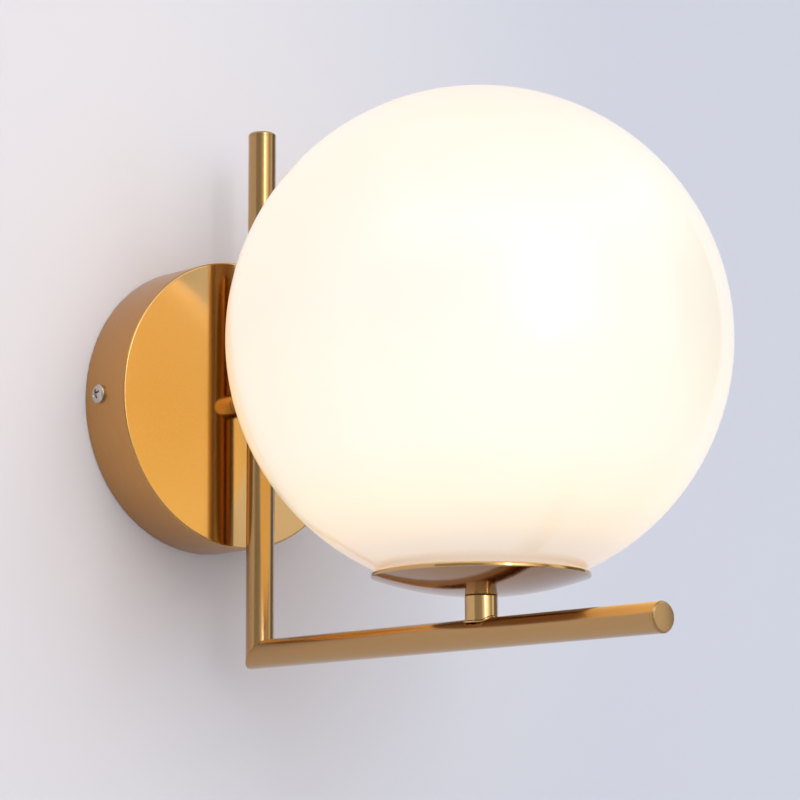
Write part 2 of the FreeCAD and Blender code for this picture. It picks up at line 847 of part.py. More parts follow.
def led_board():
    top = board_level() + board_thickness
    radius = seat_radius() - diffuser_wall - board_rim_gap
    board = rod(radius, Vector(0, 0, board_level()), Vector(0, 0, top))
    half = led_size / 2
    for place in range(led_count):
        led = box((led_ring_radius - half, -half, top - join_lap),
                  (led_ring_radius + half, half, top + led_height))
        led.rotate(Vector(0, 0, 0), Vector(0, 0, 1), 360 * place / led_count)
        board = board.fuse(led)
    return on_shade_axis(board)


# Wires

def lamp_wire(side):
    """From the terminal block through stem, tubes and neck to the lamp holder."""
    x = side * wire_spacing / 2
    height = side * block_way_spacing / 2
    entry = canopy_inside + stem_nipple_inside
    step_from = holder_level + holder_floor + wire_step_low
    step_to = core_level - terminal_size - wire_step_high
    points = [Vector(block_place + block_way_depth - wire_stop, way_level(), height),
              Vector(x, way_level(), height),
              Vector(x, entry - wire_stop, 0),
              Vector(x, -riser_reach, 0),
              Vector(x, -riser_reach, -arm_drop),
              Vector(x, -globe_reach, -arm_drop),
              Vector(x, -globe_reach, step_from),
              Vector(side * terminal_place, -globe_reach, step_to),
              Vector(side * terminal_place, -globe_reach, core_level - terminal_size)]
    bends = [wire_bend, wire_bend, wire_bend, wire_bend, wire_bend, wire_step_bend, wire_step_bend]
    return wire_along(points, bends)


def earth_wire():
    level = -bracket_thickness - wire_radius - inside_gap
    side = -m4_head_radius - rest_gap
    drop = -bracket_width / 2 - earth_drop
    tag_face = canopy_inside + washer_height + wire_radius + weld_gap
    points = [Vector(earth_screw_place, level, side),
              Vector(earth_screw_place, level, drop),
              Vector(-tag_length + tag_edge, tag_face, drop),
              Vector(-tag_length + tag_edge, tag_face, tag_width / 2)]
    return wire_along(points, [wire_bend, wire_bend])


parts = {
    "canopy": canopy,
    "wall_bracket": wall_bracket,
    "side_screws": side_screws,
    "earth_screw": earth_screw,
    "terminal_block": terminal_block,
    "terminal_screws": terminal_screws,
    "block_screw": block_screw,
    "stem": stem,
    "stem_nipple": stem_nipple,
    "earth_tag": earth_tag,
    "stem_nut": stem_nut,
    "riser_tube": riser_tube,
    "arm_tube": arm_tube,
    "riser_cap": riser_cap,
    "arm_cap": arm_cap,
    "neck": neck,
    "dish": dish,
    "dish_nipple": dish_nipple,
    "dish_washer": dish_washer,
    "dish_nut": dish_nut,
    "fitter_hub": fitter_hub,
    "shade_ring": shade_ring,
    "shade_gasket": shade_gasket,
    "shade_o_ring": shade_o_ring,
    "glass_globe": glass_globe,
    "bond_bead": bond_bead,
    "holder_base": holder_base,
    "holder_skirt": holder_skirt,
    "holder_core": holder_core,
    "holder_terminals": holder_terminals,
    "thread_shell": thread_shell,
    "centre_contact": centre_contact,
    "bulb_contact": bulb_contact,
    "bulb_insulator": bulb_insulator,
    "bulb_cap": bulb_cap,
    "bulb_housing": bulb_housing,
    "bulb_diffuser": bulb_diffuser,
    "led_board": led_board,
    "live_wire": lambda: lamp_wire(1),
    "neutral_wire": lambda: lamp_wire(-1),
    "earth_wire": earth_wire,
}

os.makedirs("parts", exist_ok=True)
for name, make in parts.items():
    shape = make()
    sound = shape.isValid() and all(solid.Volume > 0 for solid in shape.Solids)
    print(f"{name}: {len(shape.Solids)} solid, {shape.Volume:.1f} mm3, {'sound' if sound else 'BROKEN'}")
    shape.exportStep(f"parts/{name}.step")
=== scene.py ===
import math
from functools import partial

import bmesh
import bpy
from mathutils import Matrix, Vector


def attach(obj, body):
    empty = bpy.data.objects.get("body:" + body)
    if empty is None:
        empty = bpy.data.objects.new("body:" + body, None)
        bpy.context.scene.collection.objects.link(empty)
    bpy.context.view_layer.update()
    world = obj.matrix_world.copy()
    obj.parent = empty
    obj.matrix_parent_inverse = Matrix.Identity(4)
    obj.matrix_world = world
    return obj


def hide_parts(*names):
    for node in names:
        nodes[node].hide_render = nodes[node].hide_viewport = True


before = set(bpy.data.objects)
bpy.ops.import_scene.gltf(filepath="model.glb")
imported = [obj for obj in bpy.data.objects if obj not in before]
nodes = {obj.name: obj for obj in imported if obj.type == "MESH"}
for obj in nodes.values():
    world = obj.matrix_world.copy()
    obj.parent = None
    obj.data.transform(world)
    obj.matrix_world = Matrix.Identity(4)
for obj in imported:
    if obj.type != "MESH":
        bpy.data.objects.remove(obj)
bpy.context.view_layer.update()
mm = 0.001
merge = {"own": 1e-7, "cad": 1e-6}  # metres: corners that lie closer are one
smooth = {"turned": 32, "pipe": 30, "soft": 60}  # degrees: an edge that bends less looks round
print("frame loaded,", len(nodes), "nodes")

# The wall is y = 0, the light stands out to -Y and every tube lies in the plane x = 0.
# Sizes are in millimetres. The part's main sizes come from its CAD source.


def srgb(hexColour):
    values = [int(hexColour[i:i + 2], 16) / 255 for i in (1, 3, 5)]
    return tuple(v / 12.92 if v <= 0.04045 else ((v + 0.055) / 1.055) ** 2.4
                 for v in values) + (1.0,)


def feed(node, inputs):  # an input takes a value, a socket or a node's first output
    for key, value in inputs.items():
        if isinstance(value, bpy.types.Node):
            value = value.outputs[0]
        if isinstance(value, bpy.types.NodeSocket):
            node.id_data.links.new(value, node.inputs[key])
        else:
            node.inputs[key].default_value = value


def addNode(tree, kind, settings=None, inputs=None, stops=()):
    node = tree.nodes.new(kind)
    for key, value in (settings or {}).items():
        setattr(node, key, value)
    for place, (position, colour) in enumerate(stops):
        elements = node.color_ramp.elements
        element = elements[place] if place < len(elements) else elements.new(position)
        element.position, element.color = position, colour
    feed(node, inputs or {})
    return node


def newMaterial(name):
    material = bpy.data.materials.new(name)
    material.use_nodes = True
    material.node_tree.nodes.clear()
    add = partial(addNode, material.node_tree)
    output, shader = add("ShaderNodeOutputMaterial"), add("ShaderNodeBsdfPrincipled")
    feed(output, {"Surface": shader})
    return material, add, shader, output


def smoothed(mesh, sharpAngle):
    mesh.polygons.foreach_set("use_smooth", [True] * len(mesh.polygons))
    mesh.set_sharp_from_angle(angle=math.radians(sharpAngle))
    return mesh


def newPiece(name, mesh, sharpAngle):
    smoothed(mesh, sharpAngle)
    piece = bpy.data.objects.new(name, mesh)
    bpy.context.scene.collection.objects.link(piece)
    return piece


def closeMesh(name, points, faces, sharpAngle):
    mesh = bpy.data.meshes.new(name)
    mesh.from_pydata([tuple(c * mm for c in p) for p in points], [], faces)
    work = bmesh.new()
    work.from_mesh(mesh)
    bmesh.ops.remove_doubles(work, verts=work.verts, dist=merge["own"])
    bmesh.ops.recalc_face_normals(work, faces=work.faces)
    work.to_mesh(mesh)
    work.free()
    return newPiece(name, mesh, sharpAngle)


def swept(centre, start, turn, steps):  # points turned about a centre, from start on
    result = []
    for step in range(steps + 1):
        a = -turn * step / steps
        result.append((centre.x + start.x * math.cos(a) - start.y * math.sin(a),
                       centre.y + start.x * math.sin(a) + start.y * math.cos(a)))
    return result


def rounded(outline, corners, steps=5):  # corners: {place in the outline: radius}
    result = []
    for i, point in enumerate(outline):
        radius = corners.get(i, 0)
        here = Vector(point)
        if not radius:
            result.append(tuple(here))
            continue
        back = (Vector(outline[i - 1]) - here).normalized()
        ahead = (Vector(outline[(i + 1) % len(outline)]) - here).normalized()
        half = back.angle(ahead) / 2
        centre = here + (back + ahead).normalized() * (radius / math.sin(half))
        start = here + back * (radius / math.tan(half)) - centre
        end = here + ahead * (radius / math.tan(half)) - centre
        result += swept(centre, start, start.angle_signed(end), steps)
    return result


def arcThrough(start, middle, end, steps):
    a, b, c = Vector(start), Vector(middle), Vector(end)
    p, q = a - b, c - b
    double = 2 * (p.x * q.y - p.y * q.x)
    centre = b + Vector((q.y * p.length_squared - p.y * q.length_squared,
                         p.x * q.length_squared - q.x * p.length_squared)) / double
    turn = (a - centre).angle_signed(b - centre) + (b - centre).angle_signed(c - centre)
    return swept(centre, a - centre, turn, steps)


# an outline of (radius, height) turned about the Z axis, or about a line out from the wall
def lathe(name, outline, segments=128, place=(0, 0, 0), towards="up", sharpAngle=smooth["turned"]):
    points, rows = [], []
    for r, h in outline:
        if r < merge["cad"]:  # a point on the axis closes the pole
            rows.append([len(points)] * segments)
            points.append((0, 0, h))
            continue
        rows.append(list(range(len(points), len(points) + segments)))
        for s in range(segments):
            a = 2 * math.pi * s / segments
            points.append((r * math.cos(a), r * math.sin(a), h))
    faces = []
    for i, low in enumerate(rows):
        high = rows[(i + 1) % len(rows)]
        for s in range(segments):
            t = (s + 1) % segments
            loop = []
            for v in (low[s], low[t], high[t], high[s]):
                if v not in loop:
                    loop.append(v)
            if len(loop) > 2:
                faces.append(loop)
    turned = []
    for x, y, h in points:
        x, y, z = (x, y, h) if towards == "up" else (x, -h, y)
        turned.append((x + place[0], y + place[1], z + place[2]))
    return closeMesh(name, turned, faces, sharpAngle)


def underSphere(centre, radius, r):  # height of a sphere's lower half, r away from its axis
    return centre - math.sqrt(radius ** 2 - r ** 2)


def sphereArc(centre, radius, rFrom, rTo, steps):  # along a sphere's lower half
    start, end = math.asin(rFrom / radius), math.asin(rTo / radius)
    angles = [start + (end - start) * i / steps for i in range(steps + 1)]
    return [(radius * math.sin(a), centre - radius * math.cos(a)) for a in angles]


def overSphere(centre, radius, rFrom, rTo, steps):  # along its upper half
    return [(r, 2 * centre - h) for r, h in sphereArc(centre, radius, rFrom, rTo, steps)]


def pipe(name, rings):  # its outer and inner edges: near, far, far, near
    segments = len(rings[0])
    faces = []
    for ring in range(4):
        for s in range(segments):
            t = (s + 1) % segments
            low, high = ring * segments, ((ring + 1) % 4) * segments
            faces.append((low + s, low + t, high + t, high + s))
    return closeMesh(name, [point for ring in rings for point in ring], faces, smooth["pipe"])


def breakEdges(piece, width, segments, sharperThan):
    bevel = piece.modifiers.new("edges", "BEVEL")
    bevel.width, bevel.segments = width * mm, segments
    bevel.angle_limit = math.radians(sharperThan)
    return bevel


def finish(piece, body, material, replaced=()):
    piece.data.materials.clear()
    for entry in material if isinstance(material, list) else [material]:
        piece.data.materials.append(entry)
    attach(piece, body)
    if replaced:
        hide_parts(*replaced)
    return piece


def plainMesh(piece, sharpAngle):  # works the modifiers into the mesh
    evaluated = piece.evaluated_get(bpy.context.evaluated_depsgraph_get())
    mesh = bpy.data.meshes.new_from_object(evaluated)
    piece.modifiers.clear()
    piece.data = smoothed(mesh, sharpAngle)


def cutAway(piece, tool, sharpAngle=smooth["turned"]):
    cut = piece.modifiers.new("cut", "BOOLEAN")
    cut.operation, cut.object, cut.solver = "DIFFERENCE", tool, "EXACT"
    plainMesh(piece, sharpAngle)
    bpy.data.objects.remove(tool)


# what all the patterns share: how fine their noise is, which part of it counts, and their relief
pattern = {"grainDetail": 3.0, "grainRough": 0.6, "moulded": 4.0, "hazeDetail": 2.0, "low": 0.3,
           "high": 0.7, "relief": 0.2, "lacquerRoughness": 0.06, "scatter": 2.0,
           "bulbLight": "#FFF3DE"}


def dressed(add, shader, look, grain, toneBy, roughBy):
    low, high = look["roughness"]
    rough = add("ShaderNodeMapRange",
                inputs={"Value": roughBy.outputs["Fac"], "From Min": pattern["low"],
                        "From Max": pattern["high"], "To Min": low, "To Max": high})
    tone = add("ShaderNodeMix", {"data_type": "RGBA"}, {
        "Factor": toneBy.outputs["Fac"], "A": srgb(look["colour"]), "B": srgb(look["shade"])})
    bump = add("ShaderNodeBump",
               inputs={"Strength": look["bump"], "Distance": pattern["relief"] * mm,
                       "Height": grain.outputs["Fac"]})
    feed(shader, {"Base Color": tone.outputs["Result"], "Roughness": rough, "Normal": bump})


def metal(name, look):  # look["grain"] is the size of one cell of its grain in X, Y and Z
    material, add, shader = newMaterial(name)[:3]
    where = add("ShaderNodeTexCoord")
    cells = add("ShaderNodeMapping", inputs={"Vector": where.outputs["Object"],
                                             "Scale": [1 / (size * mm) for size in look["grain"]]})
    grain = add("ShaderNodeTexNoise",
                inputs={"Vector": cells, "Scale": 1.0, "Detail": pattern["grainDetail"],
                        "Roughness": pattern["grainRough"]})
    haze = add("ShaderNodeTexNoise",
               inputs={"Vector": where.outputs["Object"], "Scale": 1 / (look["haze"] * mm),
                       "Detail": pattern["hazeDetail"]})
    dressed(add, shader, look, grain, grain, haze)
    feed(shader, {"Metallic": 1.0, "Coat Weight": look.get("lacquer", 0.0),
                  "Coat Roughness": pattern["lacquerRoughness"]})
    return material


tubeBrass = {"colour": "#B8905A", "shade": "#AE8752", "lacquer": 0.6, "haze": 30.0,
             "roughness": (0.19, 0.25), "bump": 0.05}
cupBrass = {"colour": "#CDA56B", "shade": "#C49C63", "lacquer": 0.5, "haze": 35.0,
            "roughness": (0.1, 0.13), "bump": 0.006}
# drawn tube, brushed along its length under lacquer: soft-edged stripes. The real lines are finer
brushedUp = metal("brushedBrassUpright", dict(tubeBrass, grain=(0.35, 0.35, 25.0)))
brushedAlong = metal("brushedBrassArm", dict(tubeBrass, grain=(0.35, 25.0, 0.35)))
# spun cup: turned lines round the satin rim, buffed nearly to a mirror on its face
spunRim = metal("satinBrassRim", dict(cupBrass, colour="#C69356", shade="#B8864B",
                                      grain=(12.0, 0.4, 12.0), roughness=(0.3, 0.36), bump=0.05,
                                      lacquer=0.3))
spunFace = metal("buffedBrassFace", dict(cupBrass, grain=(0.8, 0.8, 0.8)))
# polished and lacquered: a clear mirror with a trace of orange peel
mirrorBrass = metal("polishedBrass", dict(cupBrass, grain=(1.2, 1.2, 1.2), roughness=(0.05, 0.08),
                                          bump=0.003))
# painted shade: the dish's brass is darker than the cup's, standing in for the darker room that it
# mirrors underneath; deep brown seen steeply, pale seen flat
shadedDishBrass = metal("shadedDishBrass", dict(cupBrass, colour="#A67C55", shade="#9A714B",
                                      grain=(1.2, 1.2, 1.2), roughness=(0.09, 0.12), bump=0.003,
                                      lacquer=0.1))
# nickel plate: cold and bright beside the brass
brightNickel = metal("brightNickel", {"colour": "#CBC6C0", "shade": "#B7B2AC",
                                      "grain": (0.5, 0.5, 0.5), "haze": 3.0,
                                      "roughness": (0.06, 0.12), "bump": 0.02})
# zinc on pressed steel: a grey, slightly cloudy satin
zincSteel = metal("zincSteel", {"colour": "#B9BBBE", "shade": "#A3A6AA", "grain": (2.0, 2.0, 2.0),
                                "haze": 12.0, "roughness": (0.3, 0.45), "bump": 0.04})
# brass as it leaves the lathe: fine turning lines
turnedBrass = metal("turnedBrass", {"colour": "#D0AE70", "shade": "#BE9B5C",
                                    "grain": (6.0, 6.0, 0.5), "haze": 10.0, "roughness": (0.2, 0.3),
                                    "bump": 0.12})
# plain cast aluminium: pale, dull and faintly pitted
castAluminium = metal("castAluminium",
                      {"colour": "#C9CACC", "shade": "#B2B4B6", "grain": (0.9, 0.9, 0.9),
                       "haze": 15.0, "roughness": (0.36, 0.48), "bump": 0.1})
# nickel-plated sheet, rolled into a thread: bright bands that follow the waves
nickelShell = metal("nickelShell", {"colour": "#CFCBC4", "shade": "#BDB9B1",
                                    "grain": (3.0, 3.0, 0.4), "haze": 8.0,
                                    "roughness": (0.16, 0.26), "bump": 0.03})
# rolled spring bronze: reddish, with lines along the strip
springBronze = metal("springBronze", {"colour": "#C6935E", "shade": "#AE7C4A",
                                      "grain": (8.0, 0.4, 0.4), "haze": 6.0,
                                      "roughness": (0.2, 0.3), "bump": 0.05})
# solder: a dull, uneven grey drop
solder = metal("solder", {"colour": "#B9B9B7", "shade": "#9C9C9A", "grain": (1.5, 1.5, 1.5),
                          "haze": 4.0, "roughness": (0.3, 0.42), "bump": 0.12})


def dull(name, look):  # plastics, glass, ceramic and silicone
    material, add, shader = newMaterial(name)[:3]
    where = add("ShaderNodeTexCoord")
    grain = add("ShaderNodeTexNoise",
                inputs={"Vector": where.outputs["Object"], "Scale": 1 / (look["grain"] * mm),
                        "Detail": pattern["moulded"]})
    haze = add("ShaderNodeTexNoise",
               inputs={"Vector": where.outputs["Object"], "Scale": 1 / (look["haze"] * mm),
                       "Detail": pattern["hazeDetail"]})
    dressed(add, shader, look, grain, haze, grain)
    feed(shader, {"Subsurface Weight": look.get("depth", 0.0),
                  "Subsurface Scale": pattern["scatter"] * mm,
                  "Emission Color": srgb(pattern["bulbLight"]),
                  "Emission Strength": look.get("glow", 0.0)})
    return material


# moulded nylon: milky, with a fine spark-eroded grain
nylon = dull("mouldedNylon", {"colour": "#E9E7DF", "shade": "#DDDACF", "grain": 0.8, "haze": 20.0,
                              "roughness": (0.42, 0.52), "bump": 0.08, "depth": 0.15})
# thermoplastic lamp holder: opaque white with a soft sheen
holderPlastic = dull("holderThermoplastic", {"colour": "#F0EEEA", "shade": "#E6E4DF", "grain": 0.7,
                                             "haze": 25.0, "roughness": (0.34, 0.42), "bump": 0.05})
# unglazed steatite: dry and chalky, with pressed grains
steatite = dull("steatite", {"colour": "#EFECE4", "shade": "#E1DDD2", "grain": 0.6, "haze": 8.0,
                             "roughness": (0.7, 0.82), "bump": 0.2})
# translucent silicone: soft highlights, and light runs into it
silicone = dull("translucentSilicone", {"colour": "#E4E4E1", "shade": "#D6D6D2", "grain": 2.0,
                                        "haze": 9.0, "roughness": (0.28, 0.4), "bump": 0.06,
                                        "depth": 0.5})
# black vitrite: glossy and nearly without colour
blackGlass = dull("blackVitrite", {"colour": "#131317", "shade": "#202026", "grain": 2.5,
                                   "haze": 5.0, "roughness": (0.08, 0.16), "bump": 0.05})
# moulded housing of the bulb: cool white, smoother than the holder
bulbPlastic = dull("bulbHousing", {"colour": "#F3F3F1", "shade": "#EAEAE7", "grain": 0.7,
                                   "haze": 30.0, "roughness": (0.26, 0.34), "bump": 0.03})
# frosted cover of the bulb: a faint glow, low enough that its round form still reads
frosted = dull("frostedDiffuser", {"colour": "#F4F2EB", "shade": "#EEECE3", "grain": 0.7,
                                   "haze": 30.0, "roughness": (0.28, 0.36), "bump": 0.03,
                                   "depth": 0.3, "glow": 0.3})
# white solder mask of the board
solderMask = dull("whiteSolderMask", {"colour": "#F1F1EC", "shade": "#E5E5DE", "grain": 1.1,
                                      "haze": 6.0, "roughness": (0.3, 0.4), "bump": 0.04})
# extruded sleeves of the cores
sleeveBrown = dull("sleeveBrown", {"colour": "#5B3620", "shade": "#4C2D1A", "grain": 1.5,
                                   "haze": 6.0, "roughness": (0.4, 0.5), "bump": 0.05})
sleeveBlue = dull("sleeveBlue", {"colour": "#22479B", "shade": "#1B3B82", "grain": 1.5, "haze": 6.0,
                                 "roughness": (0.4, 0.5), "bump": 0.05})


# extruded sleeve of the earth wire: green with a yellow stripe, so it reads as two colours
earthSleeve = {"green": "#3F7F2B", "yellow": "#D9C431", "pitch": 3.49, "waver": 0.3,
               "edges": (0.55, 0.62), "grain": 1.43, "bump": 0.05, "roughness": 0.45}
waveLength = 2 * math.pi / 20  # metres: of a wave texture whose scale is 1


def stripedSleeve(look):
    material, add, shader = newMaterial("sleeveGreenYellow")[:3]
    where = add("ShaderNodeTexCoord")
    wave = add("ShaderNodeTexWave", {"bands_direction": "DIAGONAL"},
               {"Vector": where.outputs["Object"], "Distortion": look["waver"],
                "Scale": waveLength / (look["pitch"] * mm)})
    stripe = add("ShaderNodeValToRGB", inputs={0: wave.outputs["Fac"]},
                 stops=list(zip(look["edges"], (srgb(look["green"]), srgb(look["yellow"])))))
    fine = add("ShaderNodeTexNoise",
               inputs={"Vector": where.outputs["Object"], "Scale": 1 / (look["grain"] * mm)})
    bump = add("ShaderNodeBump",
               inputs={"Strength": look["bump"], "Distance": pattern["relief"] * mm,
                       "Height": fine.outputs["Fac"]})
    feed(shader, {"Base Color": stripe, "Normal": bump, "Roughness": look["roughness"]})
    return material


sleeveEarth = stripedSleeve(earthSleeve)
print("materials")


def geometryTree(name, sockets):
    tree = bpy.data.node_groups.new(name, "GeometryNodeTree")
    for label, kind in sockets.items():
        tree.interface.new_socket(label, in_out="INPUT", socket_type="NodeSocket" + kind)
    tree.interface.new_socket("Mesh", in_out="OUTPUT", socket_type="NodeSocketGeometry")
    add = partial(addNode, tree)
    return add, add("NodeGroupInput").outputs


def endTree(geometry, material):  # the export drops instances, so they are made real
    add = partial(addNode, geometry.id_data)
    smooth = add("GeometryNodeSetShadeSmooth", inputs={0: geometry})
    real = add("GeometryNodeRealizeInstances", inputs={0: smooth})
    coated = add("GeometryNodeSetMaterial", inputs={0: real, "Material": material})
    add("NodeGroupOutput", inputs={0: coated})
    return geometry.id_data


# the plain mesh that a tree makes; an input whose name ends in mm is given in millimetres
def grown(name, tree, values, place=(0, 0, 0), sharpAngle=40):
    seed = bpy.data.objects.new(name, bpy.data.meshes.new(name + "Seed"))
    bpy.context.scene.collection.objects.link(seed)
    modifier = seed.modifiers.new("tree", "NODES")
    modifier.node_group = tree
    for item in tree.interface.items_tree:
        if item.in_out == "INPUT":
            value = values[item.name]
            modifier[item.identifier] = value * mm if item.name.endswith("mm") else value
    plainMesh(seed, sharpAngle)
    seed.data.transform(Matrix.Translation([c * mm for c in place]))
    return seed


# a sleeve whose radius waves in and out: a rolled thread with one start, or ribs with many
def wavySleeve():
    add, given = geometryTree("wavySleeve",
                              {"Radius mm": "Float", "Wave mm": "Float", "Pitch mm": "Float",
                               "Starts": "Float", "Length mm": "Float", "Plain End mm": "Float",
                               "Run Out mm": "Float", "Around": "Int", "Along": "Int",
                               "Material": "Material"})
    sheet = add("GeometryNodeMeshGrid", inputs={
        "Size X": 1.0, "Size Y": 1.0, "Vertices X": given["Around"], "Vertices Y": given["Along"]})
    spot = add("ShaderNodeSeparateXYZ", inputs={0: add("GeometryNodeInputPosition")})
    angle = add("ShaderNodeMath", {"operation": "MULTIPLY"}, {0: spot.outputs["X"], 1: 2 * math.pi})
    share = add("ShaderNodeMath", {"operation": "ADD"}, {0: spot.outputs["Y"], 1: 0.5})
    height = add("ShaderNodeMath", {"operation": "MULTIPLY"}, {0: share, 1: given["Length mm"]})
    turns = add("ShaderNodeMath", {"operation": "DIVIDE"}, {0: height, 1: given["Pitch mm"]})
    climb = add("ShaderNodeMath", {"operation": "MULTIPLY"}, {0: turns, 1: 2 * math.pi})
    around = add("ShaderNodeMath", {"operation": "MULTIPLY"}, {0: angle, 1: given["Starts"]})
    phase = add("ShaderNodeMath", {"operation": "SUBTRACT"}, {0: climb, 1: around})
    cosine = add("ShaderNodeMath", {"operation": "COSINE"}, {0: phase})
    wave = add("ShaderNodeMath", {"operation": "MULTIPLY_ADD"}, {0: cosine, 1: 0.5, 2: 0.5})
    fromTop = add("ShaderNodeMath", {"operation": "SUBTRACT"}, {0: given["Length mm"], 1: height})
    plain = add("ShaderNodeMath", {"operation": "ADD"},
                {0: given["Plain End mm"], 1: given["Run Out mm"]})
    nearest = add("ShaderNodeMath", {"operation": "MINIMUM"}, {0: height, 1: fromTop})
    fade = add("ShaderNodeMapRange", {"interpolation_type": "SMOOTHSTEP"},
               {"Value": nearest, "From Min": given["Plain End mm"], "From Max": plain})
    part = add("ShaderNodeMath", {"operation": "MULTIPLY"}, {0: wave, 1: fade})
    radius = add("ShaderNodeMath", {"operation": "MULTIPLY_ADD"},
                 {0: part, 1: given["Wave mm"], 2: given["Radius mm"]})
    east = add("ShaderNodeMath", {"operation": "COSINE"}, {0: angle})
    north = add("ShaderNodeMath", {"operation": "SINE"}, {0: angle})
    x = add("ShaderNodeMath", {"operation": "MULTIPLY"}, {0: east, 1: radius})
    y = add("ShaderNodeMath", {"operation": "MULTIPLY"}, {0: north, 1: radius})
    there = add("ShaderNodeCombineXYZ", inputs={0: x, 1: y, 2: height})
    bent = add("GeometryNodeSetPosition", inputs={0: sheet.outputs["Mesh"], "Position": there})
    closed = add("GeometryNodeMergeByDistance", inputs={0: bent, "Distance": merge["cad"]})
    return endTree(closed, given["Material"])


# one round-backed ridge on a right-hand helix, swelling up from nothing at both its ends
def threadRidge():
    add, given = geometryTree("threadRidge",
                              {"Radius mm": "Float", "Rise mm": "Float", "Turns": "Float",
                               "Section mm": "Float", "Lead In": "Float", "Tip": "Float",
                               "Steps": "Int", "Sides": "Int", "Material": "Material"})
    path = add("GeometryNodeCurveSpiral",
               inputs={"Resolution": given["Steps"], "Rotations": given["Turns"],
                       "Start Radius": given["Radius mm"], "End Radius": given["Radius mm"],
                       "Height": given["Rise mm"], "Reverse": False})
    level = add("GeometryNodeSetCurveNormal", {"mode": "Z_UP"}, {0: path})
    share = add("GeometryNodeSplineParameter")
    left = add("ShaderNodeMath", {"operation": "SUBTRACT"}, {0: 1.0, 1: share.outputs["Factor"]})
    end = add("ShaderNodeMath", {"operation": "MINIMUM"}, {0: share.outputs["Factor"], 1: left})
    swell = add("ShaderNodeMapRange", {"interpolation_type": "SMOOTHSTEP"},
                {"Value": end, "From Max": given["Lead In"], "To Min": given["Tip"]})
    section = add("GeometryNodeCurvePrimitiveCircle",
                  inputs={"Resolution": given["Sides"], "Radius": given["Section mm"]})
    ridge = add("GeometryNodeCurveToMesh", inputs={
        "Curve": level, "Profile Curve": section, "Scale": swell, "Fill Caps": True})
    return endTree(ridge, given["Material"])


def screwPair():  # the same screw at both ends of a line, heads outwards
    add, given = geometryTree("screwPair", {"Screw": "Object", "Reach mm": "Float",
                                            "Forward mm": "Float", "Material": "Material"})
    across = add("ShaderNodeMath", {"operation": "MULTIPLY"}, {0: given["Reach mm"], 1: -1.0})
    forward = add("ShaderNodeMath", {"operation": "MULTIPLY"}, {0: given["Forward mm"], 1: -1.0})
    start = add("ShaderNodeCombineXYZ", inputs={0: across, 1: forward})
    end = add("ShaderNodeCombineXYZ", inputs={0: given["Reach mm"], 1: forward})
    line = add("GeometryNodeMeshLine", {"mode": "END_POINTS"},
               {"Count": 2, "Start Location": start, "Offset": end})
    tip = add("ShaderNodeMapRange", inputs={"Value": add("GeometryNodeInputIndex"),
                                            "To Min": -math.pi / 2, "To Max": math.pi / 2})
    lean = add("ShaderNodeCombineXYZ", inputs={1: tip})
    screw = add("GeometryNodeObjectInfo", inputs={"Object": given["Screw"], "As Instance": True})
    placed = add("GeometryNodeInstanceOnPoints",
                 inputs={"Points": line, "Instance": screw.outputs["Geometry"], "Rotation": lean})
    return endTree(placed, given["Material"])


sleeveTree, ridgeTree, pairTree = wavySleeve(), threadRidge(), screwPair()
print("geometry trees")


# cased opal glass with a satin skin, lit from inside: it glows softly and hides the bulb
globe = {"reach": 176.0, "level": 7.503, "radius": 100.0, "wall": 3.0, "mouth": 36.9, "lip": 0.6,
         "segments": 192, "steps": (60, 90, 50, 34),
         "strength": 1.4, "shown": "#D8D6D4", "mirrored": "#FFE097", "spilled": "#C8A06E",
         # painted shade: pale rose near the mouth, where the bulb's base keeps the light off, then
         # nearly white
         "glow": [(0.03, "#DAD2D0"), (0.07, "#E6E0DD"), (0.1, "#F6EEE5"), (0.15, "#F8F9EF"),
                  (0.24, "#F6F9F8"), (0.4, "#F2F3F1"), (0.5, "#EEEEEE"), (0.84, "#EEEAE6"),
                  (1.0, "#ECDED3")],
         # painted highlight: whitest on one fixed side, with a painted cream falloff round from it
         "paintedHotSide": (-0.56, -0.81, 0.13),
         "paintedLimbCream": [(0.0, "#FAE6CC"), (0.4, "#FCF1DF"), (0.8, "#FFFBEE"), (1.0, "#FFFFF8")],
         "glass": "#7E7A72", "roughness": 0.3, "gloss": 0.6, "glossRoughness": 0.05}
axisY = -globe["reach"]


